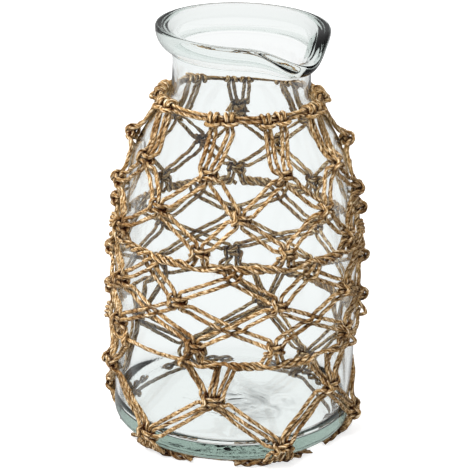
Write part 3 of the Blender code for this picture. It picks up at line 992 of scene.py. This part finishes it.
            # painted shade: the more strands crowd round a point, the darker it is painted
            if near:
                gaps = np.linalg.norm(rims[ring][:, None] - np.array(near)[None], axis=2)
                crowd = np.maximum(0.0, 1 - gaps / self.crowding).sum(axis=1) / self.full_crowd
                shade[ring * self.corners:(ring + 1) * self.corners] = crowd
            # painted shade on points near the floor, under the edge of the glass
            if centre[2] < self.painted_low_shade_height:
                shade[ring * self.corners:(ring + 1) * self.corners] += self.painted_low_shade
        noted = mesh.attributes.new(PAINTED_SHADE_ATTRIBUTE, "FLOAT", "POINT")
        noted.data.foreach_set("value", np.minimum(shade, 1.0))

    def spin(self, cords: list[Cord]) -> list[bpy.types.Object]:
        """Make the finished cords.

        Args:
            cords: The cords, each with its way.

        Returns:
            The finished pieces.
        """
        noise.seed_set(self.wander_seed)
        for cord in cords:
            self.lay_down(cord)
        owners = [(cord.seed, step) for cord in cords for step in range(len(cord.way))]
        others = KDTree(len(owners))
        for index, place in enumerate(np.vstack([cord.way for cord in cords])):
            others.insert(place, index)
        others.balance()
        made = [self.piece(cord, others, owners) for cord in cords]
        drop(self.outline)
        return made

    def piece(self, cord: Cord, others: KDTree, owners: list[Pair]) -> bpy.types.Object:
        """Make one finished cord.

        Args:
            cord: The cord.
            others: Every cord's points.
            owners: Seed and step of each of those points.

        Returns:
            The finished piece.
        """
        strand = self.strand(cord)
        self.paint_crevice_shade(strand, cord, others, owners)
        shape = bmesh.new()
        for mesh in (strand, self.fuzz(cord)):
            shape.from_mesh(mesh)
            bpy.data.meshes.remove(mesh)
        bmesh.ops.remove_doubles(shape, verts=shape.verts, dist=self.merge_within)
        bmesh.ops.recalc_face_normals(shape, faces=shape.faces)
        made = object_of(cord.name, shape, self.material)
        made.data.shade_smooth()
        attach(made, "root")
        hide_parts(cord.node)
        return made


class Strand(Enum):
    """The three strands of a ring twist, by phase in degrees at the knot."""

    RING = -90.0
    INNER = 150.0
    OUTER = 30.0


class Below(Enum):
    """What a knot's legs do next."""

    LINK = "run on in pairs to the next knots"
    RING = "run into the ring close below"
    FOOT = "bend under the glass"


@dataclass
class Place:
    """A knot's place on the net; its sketch is in pitches across, up and out.

    Widths are true at the knot's middle layer.
    """

    form: BottleForm
    turn: float
    length: float
    tilt: float = 0.0
    middle_layer: float = 2.0

    def points(self, sketch: Sketch, shift: float = 0.0) -> list[Point]:
        """Turn, run and layer of each point of a sketch.

        Args:
            sketch: Across, up and layer of each point.
            shift: Added to each point's across.

        Returns:
            The points.
        """
        reach = self.form.reach(self.length, self.middle_layer)
        pitch = self.form.pitch
        level, lean = math.cos(self.tilt), math.sin(self.tilt)
        placed = []
        for across, up, layer in sketch:
            right = (across + shift) * level - up * lean
            rise = (across + shift) * lean + up * level
            turn = self.turn + right * pitch / reach
            placed.append((turn, self.length - rise * pitch, layer))
        return placed


def both_halves(half: Sketch, mirror: Pair) -> Sketch:
    """A sketch and its mirror image, run as one way.

    Args:
        half: The first half.
        mirror: Signs of across and up in the second half.

    Returns:
        The whole sketch.
    """
    rest = tuple(
        (across * mirror[0], up * mirror[1], layer) for across, up, layer in reversed(half)
    )
    if rest[0] == half[-1]:
        rest = rest[1:]
    return half + rest


def near_turn(turn: float, other: float) -> float:
    """The same turn, moved by whole turns to lie within half a turn of another."""
    return turn - FULL_TURN * round((turn - other) / FULL_TURN)


@dataclass
class JuteNet:
    """The knotted net: four ring cords and eighteen folded working cords.

    Rows are heights of the knots of rows 1 to 4 and 6 to 8 in mm: in row 5 the legs
    only cross. Slack is how far each knot sits from its even place, in degrees.
    A small knot ties four legs and a large one six. Measures of a knot are in
    pitches, and layers count out from the glass.
    """

    form: BottleForm
    twine: Twine
    top_ring: float = 193 * MM
    mid_ring: float = 118 * MM
    low_ring: float = 62 * MM
    base_ring_radius: float = 60 * MM
    rows: tuple[float, ...] = (166.5, 145.5, 126.0, 97.0, 72.0, 41.0, 10.5)
    row_7_starts: Pair = (1 / 3, 5 / 3)
    row_8_starts: Pair = (1.0, 5 / 2)
    pairs: int = 9
    repeats: int = 3
    small_knot: int = 4
    large_knot: int = 6
    first_turn: float = math.radians(-62.0)
    back_turn: float = math.radians(138.0)
    back_pair: int = 5
    back_knot: int = 2
    head_offset: float = 1.85
    most_tilt: float = math.radians(9.0)
    top_ring_turns: int = 2
    top_ring_steps: int = 64
    top_ring_gap: float = 1.05
    top_ring_layer: float = 2.17
    base_ring_bend: float = math.radians(7.0)
    base_ring_layer: float = 1.85
    low_twist: float = math.radians(21.0)
    short_twist: float = math.radians(12.5)
    half_turn_below: float = math.radians(15.0)
    twist_layer: float = 1.66
    twist_radius: float = 0.62
    twist_turns: float = 1.5
    twist_steps: int = 14
    inner_twist: Pair = (0.16, 0.76)
    outer_twist: Pair = (0.28, 0.86)
    crossing_layers: Pair = (1.05, 2.15)
    knot_stretch: float = 1.08
    wide_stretch: float = 1.25
    ring_exit: Pair = (0.62, -1.5)
    core_gap: float = 1.2
    wide_core_gap: float = 0.92
    core_top: float = 1.9
    core_rise: float = 0.25
    core_ring_end: float = 1.4
    core_spread: float = 1.2
    core_waist: float = 0.6
    core_layers: Pair = (1.8, 2.0)
    long_link: float = 10 * MM
    link_end: float = 4.5 * MM
    link_layer: float = 1.06
    way_spacing: float = 0.5 * MM
    corner_share: float = 1 / 3
    leg_spread: float = 1.2
    tail_layer: float = 1.5
    tail_steps: int = 8
    tail_start: float = 0.06
    tail_turn: float = 0.36
    tail_coil: float = 2.2
    tail_coil_size: Pair = (0.62, 0.45)
    tail_outward: Pair = (2.1, 1.5)
    tail_coil_layer: float = 1.36
    hook_start_layer: float = 1.4
    hook: Sketch = ((0.0, -1.0, 1.2), (0.0, 0.0, 1.0), (0.0, 1.1, 1.25), (0.0, 1.15, 1.8))
    left_past: Sketch = ((-3.3, 0.0, 3.3), (-2.1, 0.0, 1.0))
    right_past: Sketch = ((2.1, 0.0, 1.0), (3.3, 0.0, 3.3))
    bare_stretch: tuple[Pair, ...] = (
        (0.04, 2.1), (0.2, 1.05), (0.5, 1.05), (0.8, 1.05), (0.96, 2.1),
    )
    slack: dict[str, tuple[float, ...]] = field(default_factory=lambda: {
        "head": (7.0, 3.5, 2.0, -1.5, 1.0, 2.0, -1.0, 1.5, -5.0),
        "row_1": (4.5, 3.0, -1.0, 1.5, -1.0, 1.0, -1.5, 1.0, 5.0),
        "row_2": (1.5, 4.5, 1.0, -2.0, 1.0, -1.0, 1.5, -2.0, 0.5),
        "row_3": (3.5, 2.5, 0.5, 1.0, -1.5, 1.0, 1.0, -1.0, -4.0),
        "exit": (-2.0, -4.0, 1.0, 1.5, -1.0, 1.0, -1.0, 1.0, -2.0),
        "row_4": (-5.5, -1.0, -3.5, 1.0, -1.0, 1.5, -1.5, 1.0, 1.0),
        "row_6": (3.5, -2.5, -3.0, 1.0, -1.0, 1.5, 1.0, -1.0, 0.5),
        "row_7": (-1.8, 1.4, 1.0, -1.0, 1.5, 3.0),
        "row_8": (3.0, -3.0, 0.0, 1.5, -1.0, 0.0),
    })
    wrapping_leg: Sketch = (
        (-2.9, 1.0, 1.5), (-2.1, 0.72, 2.1), (-1.1, 0.56, 2.95), (0.0, 0.52, 3.05),
        (0.9, 0.56, 2.95), (1.6, 0.7, 2.4), (2.05, 0.4, 1.85), (2.15, 0.0, 1.7),
    )
    tucking_leg: Sketch = (
        (2.9, 1.0, 1.7), (2.1, 0.9, 2.7), (1.5, 0.5, 2.85), (1.2, 0.25, 1.9),
        (0.8, 0.3, 1.05), (-0.2, 0.6, 0.95), (-0.9, 0.95, 1.1), (-1.35, 1.3, 2.1),
        (-1.55, 0.95, 3.2), (-1.15, 0.3, 3.75), (-1.05, 0.0, 3.8),
    )
    steep_wrap: Sketch = ((-2.3, 2.1, 1.4), (-2.05, 1.1, 2.15))
    steep_tuck: Sketch = ((2.3, 2.1, 1.5), (2.05, 1.15, 2.5))
    head_half: Sketch = (
        (-0.6, -3.6, 1.3), (-0.5, -2.2, 1.7), (-0.48, -1.2, 2.6), (-0.55, 0.0, 3.25),
        (-0.7, 1.1, 3.0), (-0.82, 1.62, 2.2), (-0.92, 1.1, 1.25), (-1.05, 0.0, 0.98),
        (-1.2, -1.0, 1.15), (-1.5, -1.35, 2.1), (-1.35, -1.75, 3.0), (-0.7, -2.15, 3.35),
    )
    exit_crossing: Sketch = (
        (-0.8, -1.7, 2.3), (0.9, -2.9, 2.3), (-0.9, -2.9, 1.05), (0.8, -1.7, 1.05),
    )

    def __post_init__(self) -> None:
        """Set out the knots' places."""
        self.pair_turn = FULL_TURN / self.pairs
        row_1, row_2, row_3, row_4, row_6, row_7, row_8 = (height * MM for height in self.rows)
        between = self.pair_turn / 2
        self.heads = self.row(self.top_ring, "head")
        self.row_1 = self.row(row_1, "row_1")
        self.row_2 = self.row(row_2, "row_2", between)
        self.row_3 = self.row(row_3, "row_3")
        self.exits = self.row(self.mid_ring, "exit", between)
        self.row_4 = self.row(row_4, "row_4")
        self.row_6 = self.row(row_6, "row_6")
        self.row_7 = self.uneven_row(row_7, "row_7", self.row_7_starts)
        self.row_8 = self.uneven_row(row_8, "row_8", self.row_8_starts)
        self.mid_length = self.form.at_height(self.mid_ring)
        self.low_length = self.form.at_height(self.low_ring)

    def row(self, height: float, name: str, start: float = 0.0) -> list[Place]:
        """Places of a row's knots, evenly spaced but for their hand slack.

        Args:
            height: Height above the glass's underside.
            name: Name of the row's slack.
            start: Turn of the first knot past the net's own first turn.

        Returns:
            The places.
        """
        length = self.form.at_height(height)
        places = []
        for index, off in enumerate(self.slack[name]):
            turn = self.first_turn + start + self.pair_turn * index + math.radians(off)
            places.append(Place(self.form, turn, length, self.tilt(name, index)))
        return places

    def tilt(self, name: str, index: int) -> float:
        """Lean of a hand-tied knot, from its row's name and its number."""
        return self.most_tilt * random.Random(f"{name}{index}").uniform(-1.0, 1.0)

    def uneven_row(self, height: float, name: str, starts: Pair) -> list[Place]:
        """Places of a lower row's knots, a few to each repeat of the net.

        Args:
            height: Height above the glass's underside.
            name: Name of the row's slack.
            starts: Turn of each knot in a repeat, in turns of one pair.

        Returns:
            The places.
        """
        length = self.form.at_height(height)
        places = []
        for index, off in enumerate(self.slack[name]):
            repeat, kind = divmod(index, len(starts))
            turn = self.first_turn + repeat * FULL_TURN / self.repeats
            turn += starts[kind] * self.pair_turn + math.radians(off)
            places.append(Place(self.form, turn, length, self.tilt(name, index)))
        return places

    def square_knot(self, place: Place, slot: int, slots: int, below: Below = Below.LINK,
                    steep: bool = False) -> list[Point]:
        """Way of one leg through a tied square knot, from the top down.

        Args:
            place: Where the knot sits.
            slot: The leg's number from the left.
            slots: How many legs the knot ties.
            below: What the legs do under the knot.
            steep: Whether the legs come from straight above.

        Returns:
            Turn, run and layer of each point.
        """
        wide = slots > self.small_knot
        if slot in (0, slots - 1):
            half = self.wrapping_leg if slot == 0 else self.tucking_leg
            sketch = both_halves(half, (1.0, -1.0))
            if steep:
                sketch = (self.steep_wrap if slot == 0 else self.steep_tuck) + sketch[2:]
            stretch = self.wide_stretch if wide else 1.0
            points = [
                (across * stretch, up * self.knot_stretch, layer) for across, up, layer in sketch
            ]
            if below is Below.RING:
                inward, end = self.ring_exit
                points[-1] = (inward * points[-1][0], end, points[-1][2])
            if below is Below.FOOT:
                points.pop()
            return place.points(tuple(points))
        across = (self.wide_core_gap if wide else self.core_gap) * (slot - (slots - 1) / 2)
        top = self.core_top + self.core_rise * min(slot - 1, slots - 2 - slot)
        end = self.core_ring_end if below is Below.RING else top
        outer, inner = self.core_layers
        sketch = (
            (across * self.core_spread, top, outer), (across, self.core_waist, inner),
            (across, -self.core_waist, inner), (across, -end, outer),
        )
        return place.points(sketch[:3] if below is Below.FOOT else sketch)

    def twist_way(self, start: float, end: float, length: float, strand: Strand,
                  enter: float = 0.0, leave: float = 1.0) -> list[Point]:
        """Way of one strand of a ring twist.

        Args:
            start: Turn at the knot.
            end: Turn where the twist ends.
            length: The ring's run.
            strand: Which strand it is.
            enter: Share of the way where the strand joins.
            leave: Share of the way where it leaves.

        Returns:
            Turn, run and layer of each point.
        """
        turns = self.twist_turns * FULL_TURN
        if abs(end - start) < self.half_turn_below:
            turns = math.pi
        points = []
        for step in range(self.twist_steps + 1):
            share = blend(enter, leave, step / self.twist_steps)
            angle = math.radians(strand.value) + turns * share
            up = self.twist_radius * math.sin(angle)
            layer = self.twist_layer + self.twist_radius * math.cos(angle)
            points.append((blend(start, end, share), length - up * self.form.pitch, layer))
        return points

    def leg(self, number: int) -> list[Point]:
        """Way of one leg from its lark's head to the base ring.

        Args:
            number: The leg's number round the net, from the left of the first pair of heads.

        Returns:
            Turn, run and layer of each point.
        """
        small, large = self.small_knot, self.large_knot
        pair, leg = divmod(number, small)
        left = leg < small // 2
        strand = Strand.OUTER if leg in (0, small - 1) else Strand.INNER
        enter, leave = self.inner_twist if strand is Strand.INNER else self.outer_twist
        before = (pair - 1) % self.pairs
        beside = before if left else pair
        crossed = (leg + small // 2) % small
        points = self.square_knot(self.row_1[pair], leg, small, steep=True)
        points += self.square_knot(self.row_2[beside], crossed, small)
        points += self.square_knot(self.row_3[pair], leg, small, Below.RING)
        start = self.row_3[pair].turn
        end = near_turn(self.exits[beside].turn, start)
        points += self.twist_way(start, end, self.mid_length, strand, enter, leave)
        points += self.exits[beside].points((self.exit_crossing[leg],))
        next_place = self.row_4[before if left else (pair + 1) % self.pairs]
        points += self.square_knot(next_place, crossed, small)
        below = self.square_knot(self.row_6[pair], leg, small, Below.RING)
        turn = near_turn(points[-1][0], below[0][0])
        layer = self.crossing_layers[0 if left else 1]
        points.append(((turn + below[0][0]) / 2, (points[-1][1] + below[0][1]) / 2, layer))
        points += below
        points += self.past_low_ring(pair, leg, strand, enter, leave)
        knot, slot = divmod(number, large)
        points += self.square_knot(self.row_7[knot], slot, large, steep=True)
        knot, slot = divmod(number - large // 2, large)
        points += self.square_knot(self.row_8[knot], slot, large, Below.FOOT)
        points += self.base_end(self.row_8[knot], slot)
        return points

    def past_low_ring(self, pair: int, leg: int, strand: Strand, enter: float,
                      leave: float) -> list[Point]:
        """Way of one leg past the lower ring: straight past it, or twisted along it.

        Args:
            pair: The pair of heads it hangs from.
            leg: Its number in the pair.
            strand: Its strand where it is twisted.
            enter: Share of the twist where it joins.
            leave: Share of the twist where it leaves.

        Returns:
            Turn, run and layer of each point.
        """
        left = leg < self.small_knot // 2
        kind = pair % self.repeats
        place = Place(self.form, self.row_6[pair].turn, self.low_length)
        if (kind, left) == (0, True):
            return place.points((self.left_past[leg % 2],))
        if (kind, left) == (2, False):
            return place.points((self.right_past[leg % 2],))
        travel = self.low_twist if kind == 1 else self.short_twist
        away = place.turn + (-travel if left else travel)
        return self.twist_way(place.turn, away, self.low_length, strand, enter, leave)

    def base_end(self, place: Place, slot: int) -> list[Point]:
        """End of one leg: over the base ring, or laid along it beside the knot.

        Args:
            place: The lowest knot.
            slot: The leg's number in that knot.

        Returns:
            Turn, run and layer of each point.
        """
        ring = self.form.at_underside(self.base_ring_radius)
        pitch = self.form.pitch
        middle = (self.large_knot - 1) / 2
        turn = place.turn + (slot - middle) * self.leg_spread * pitch / self.base_ring_radius
        corner = self.form.at_height(self.form.base_corner * self.corner_share)
        if abs(slot - middle) < 1:
            over = [(turn, ring + up * pitch, layer) for _, up, layer in self.hook]
            return [(turn, corner, self.hook_start_layer)] + over
        side = -1 if slot < middle else 1
        phase = math.pi if slot in (0, self.large_knot - 1) else 0.0
        wide, deep = self.tail_coil_size
        way = [(turn, corner, self.tail_layer)]
        for step in range(self.tail_steps + 1):
            share = step / self.tail_steps
            angle = phase + self.tail_coil * math.pi * share
            outward = blend(*self.tail_outward, share) + wide * math.cos(angle)
            along = place.turn + side * blend(self.tail_start, self.tail_turn, share)
            layer = self.tail_coil_layer + deep * math.sin(angle)
            way.append((along, ring - outward * pitch, layer))
        return way

    def settle(self, points: list[Point]) -> np.ndarray:
        """Points in space of a way, with its long links laid down on the glass.

        Args:
            points: Turn, run and layer of each point.

        Returns:
            Dense points in space.
        """
        laid = [points[0]]
        for point in points[1:]:
            last = laid[-1]
            point = (near_turn(point[0], last[0]), point[1], point[2])
            ends = self.form.in_space(np.array([last, point]))
            gap = float(np.linalg.norm(ends[1] - ends[0]))
            if gap > self.long_link:
                for share in (self.link_end / gap, 0.5, 1 - self.link_end / gap):
                    turn = blend(last[0], point[0], share)
                    laid.append((turn, blend(last[1], point[1], share), self.link_layer))
            laid.append(point)
        rows = np.array(laid)
        gaps = steps_between(self.form.in_space(rows))
        return self.form.in_space(smooth_way(rows, gaps, self.way_spacing))

    def working_cord(self, number: int) -> np.ndarray:
        """Way of one working cord, from its left leg's end to its right leg's end.

        Args:
            number: The cord's number round the net.

        Returns:
            Dense points in space.
        """
        pair, right = divmod(number, 2)
        shift = self.head_offset if right else -self.head_offset
        head = self.heads[pair].points(both_halves(self.head_half, (-1.0, 1.0)), shift)
        first = self.leg(2 * number)[::-1]
        return self.settle(first + head + self.leg(2 * number + 1))

    def top_ring_way(self) -> np.ndarray:
        """Way of the top ring cord, wound twice round the foot of the neck.

        Returns:
            Dense points in space.
        """
        length = self.form.at_height(self.top_ring)
        points = []
        for step in range(self.top_ring_turns * self.top_ring_steps + 1):
            turns = step / self.top_ring_steps
            up = self.top_ring_gap * (turns - self.top_ring_turns / 2)
            turn = self.back_turn + FULL_TURN * turns
            points.append((turn, length - up * self.form.pitch, self.top_ring_layer))
        return self.form.in_space(np.array(points))

    def mid_ring_way(self) -> np.ndarray:
        """Way of the middle ring cord, twisted with the legs all the way round.

        Returns:
            Dense points in space.
        """
        points = []
        for count in range(self.pairs):
            pair = (count + self.back_pair) % self.pairs
            start = self.row_3[pair].turn
            end = near_turn(self.exits[pair].turn, start)
            points += self.twist_way(start, end, self.mid_length, Strand.RING)
            start = self.row_3[(pair + 1) % self.pairs].turn
            end = near_turn(self.exits[pair].turn, start)
            points += self.twist_way(start, end, self.mid_length, Strand.RING)[::-1][1:-1]
        return self.settle(points)[:-1]

    def low_ring_way(self) -> np.ndarray:
        """Way of the lower ring cord, twisted where legs run along it and bare between.

        Returns:
            Dense points in space.
        """
        points = []
        for count in range(self.repeats):
            first = (self.repeats * count + self.back_pair) // self.repeats * self.repeats
            turns = [self.row_6[first % self.pairs].turn]
            for step in range(1, self.repeats + 1):
                place = self.row_6[(first + step) % self.pairs]
                turns.append(near_turn(place.turn, turns[-1] + self.pair_turn))
            twists = (
                (turns[0], self.short_twist), (turns[1], -self.low_twist),
                (turns[1], self.low_twist), (turns[2], -self.short_twist),
            )
            for start, travel in twists:
                way = self.twist_way(start, start + travel, self.low_length, Strand.RING)
                points += way[1:] if travel > 0 else way[::-1][:-1]
            for share, layer in self.bare_stretch:
                points.append((blend(turns[2], turns[3], share), self.low_length, layer))
        return self.settle(points)

    def base_ring_way(self) -> np.ndarray:
        """Way of the drawstring under the base, pulled into a corner at each lowest knot.

        Returns:
            Dense points in space.
        """
        ring = self.form.at_underside(self.base_ring_radius)
        points = []
        for count in range(len(self.row_8) + 1):
            turn = self.row_8[(count + self.back_knot) % len(self.row_8)].turn
            for side in (-1, 1):
                points.append((turn + side * self.base_ring_bend, ring, self.base_ring_layer))
        places = self.form.in_space(np.array(points[:-1]))
        return smooth_way(places, steps_between(places), self.way_spacing)

    def build(self) -> list[bpy.types.Object]:
        """Make every cord of the net.

        Returns:
            The finished pieces.
        """
        cords = [
            Cord("jute_top_ring", "top_ring_cord", 1, self.top_ring_way()),
            Cord("jute_mid_ring", "mid_ring_cord", 2, self.mid_ring_way()),
            Cord("jute_low_ring", "low_ring_cord", 3, self.low_ring_way()),
            Cord("jute_base_ring", "base_ring_cord", 4, self.base_ring_way()),
        ]
        for number in range(2 * self.pairs):
            name = f"jute_cord_{number + 1:02d}"
            node = f"net_cord_{number + 1:02d}"
            cords.append(Cord(name, node, 11 + number, self.working_cord(number)))
        return self.twine.spin(cords)


@dataclass(frozen=True)
class Lamp:
    """A square soft lamp: degrees round the vase, and its place, width and watts."""

    name: str
    azimuth: float
    height: float
    distance: float
    size: float
    power: float


@dataclass
class Studio:
    """Camera, plain white floor, lamps and a white room with two dark sides."""

    floor_finish: FloorFinish
    camera_place: tuple[float, float, float] = (0.7976, -0.7182, 0.5369)
    camera_target: tuple[float, float, float] = (0.0, 0.0, 0.1156)
    camera_roll: float = 0.030
    lens: float = 153.68
    sensor: float = 36.0
    shift_x: float = -1.78 / IMAGE_SIZE
    nearest: float = 0.01
    floor_size: float = 4.0
    room_light: float = 0.2
    mirrored: float = 0.4
    side_stops: tuple[tuple[float, Colour], ...] = (
        (0.015, grey(0.02)), (0.05, grey(0.8)), (0.15, WHITE),
    )
    lamps: tuple[Lamp, ...] = (
        Lamp("key_lamp", azimuth=-85.0, height=1.35, distance=0.95, size=1.1, power=33.0),
        Lamp("fill_lamp", azimuth=15.0, height=0.9, distance=1.3, size=1.2, power=5.0),
        Lamp("back_lamp", azimuth=150.0, height=1.1, distance=1.3, size=1.2, power=12.0),
    )
    lamp_target: tuple[float, float, float] = (0.0, 0.0, 0.1)
    inside_power: float = 0.07
    inside_size: float = 25 * MM
    inside_height: float = 110 * MM

    def build_camera(self) -> None:
        """Set the camera where the photograph was taken from."""
        data = bpy.data.cameras.new("photo_camera")
        data.lens = self.lens
        data.sensor_width = self.sensor
        data.shift_x = self.shift_x
        data.clip_start = self.nearest
        data.dof.use_dof = False
        made = add_object("photo_camera", data)
        place = Vector(self.camera_place)
        aim = (Vector(self.camera_target) - place).to_track_quat("-Z", "Y").to_matrix()
        turned = (aim @ Matrix.Rotation(self.camera_roll, 3, "Z")).to_4x4()
        made.matrix_world = Matrix.Translation(place) @ turned
        bpy.context.scene.camera = made

    def add_lamp(self, name: str, kind: str, power: float) -> bpy.types.Object:
        """Add a lamp that glass and reflections don't show.

        Args:
            name: Name of the lamp.
            kind: Blender's name for its kind.
            power: Power in watts.

        Returns:
            The lamp.
        """
        data = bpy.data.lights.new(name, kind)
        data.energy = power
        made = add_object(name, data)
        made.visible_glossy = False
        made.visible_transmission = False
        return made

    def build_lamps(self) -> None:
        """Set the soft lamps round the vase, and a faint one inside it.

        The faint lamp stands for the light that real glass walls throw about inside.
        """
        for lamp in self.lamps:
            made = self.add_lamp(lamp.name, "AREA", lamp.power)
            made.data.shape = "SQUARE"
            made.data.size = lamp.size
            turn = math.radians(lamp.azimuth)
            place = Vector((
                lamp.distance * math.cos(turn), lamp.distance * math.sin(turn), lamp.height,
            ))
            aim = (Vector(self.lamp_target) - place).to_track_quat("-Z", "Y").to_matrix()
            made.matrix_world = Matrix.Translation(place) @ aim.to_4x4()
        made = self.add_lamp("inside_lamp", "POINT", self.inside_power)
        made.data.shadow_soft_size = self.inside_size
        made.location = (0.0, 0.0, self.inside_height)

    def build_floor(self) -> None:
        """Lay the floor."""
        shape = bmesh.new()
        bmesh.ops.create_grid(shape, x_segments=1, y_segments=1, size=self.floor_size)
        made = object_of("floor", shape, self.floor_finish.material())

    def build_room(self) -> None:
        """Make the room: white to the camera, with darker sides for the glass to show."""
        world = bpy.data.worlds.new("studio_room")
        bpy.context.scene.world = world
        nodes = Nodes(world)
        place = nodes.add("TexCoord").outputs["Generated"]
        towards, across, _ = nodes.add("SeparateXYZ", {"Vector": place}).outputs
        angle = math.atan2(self.camera_place[1], self.camera_place[0])
        along = nodes.times(towards, math.cos(angle))
        along = nodes.math("ADD", along, nodes.times(across, math.sin(angle)))
        sides = nodes.ramp(nodes.math("ABSOLUTE", along), list(self.side_stops))
        path = nodes.add("LightPath")
        glow = nodes.mix(nodes.mirror_only(path), WHITE, grey(self.mirrored))
        sides = nodes.mix(1.0, sides, glow, "MULTIPLY")
        colour = nodes.mix(nodes.seen_in_glass(path), grey(self.room_light), sides)
        colour = nodes.mix(path.outputs["Is Camera Ray"], colour, WHITE)
        room = nodes.add("Background", {"Color": colour})
        nodes.add("OutputWorld", {"Surface": room.outputs["Background"]})

    def build(self) -> None:
        """Set up the whole studio."""
        self.build_camera()
        self.build_floor()
        self.build_room()
        self.build_lamps()
        bpy.context.scene.view_settings.view_transform = "Standard"


def main() -> None:
    """Build the studio, the bottle and the net, and report each piece."""
    logging.basicConfig(level=logging.INFO, format="%(name)s: %(message)s")
    Studio(FloorFinish()).build()
    form = BottleForm()
    bottle = GlassBottle(form, GlassFinish()).build()
    log.info("%s: %d faces", bottle.name, len(bottle.data.polygons))
    net = JuteNet(form, Twine(JuteFinish().material()))
    for piece in net.build():
        log.info("%s: %d faces", piece.name, len(piece.data.polygons))


if __name__ == "__main__":
    main()
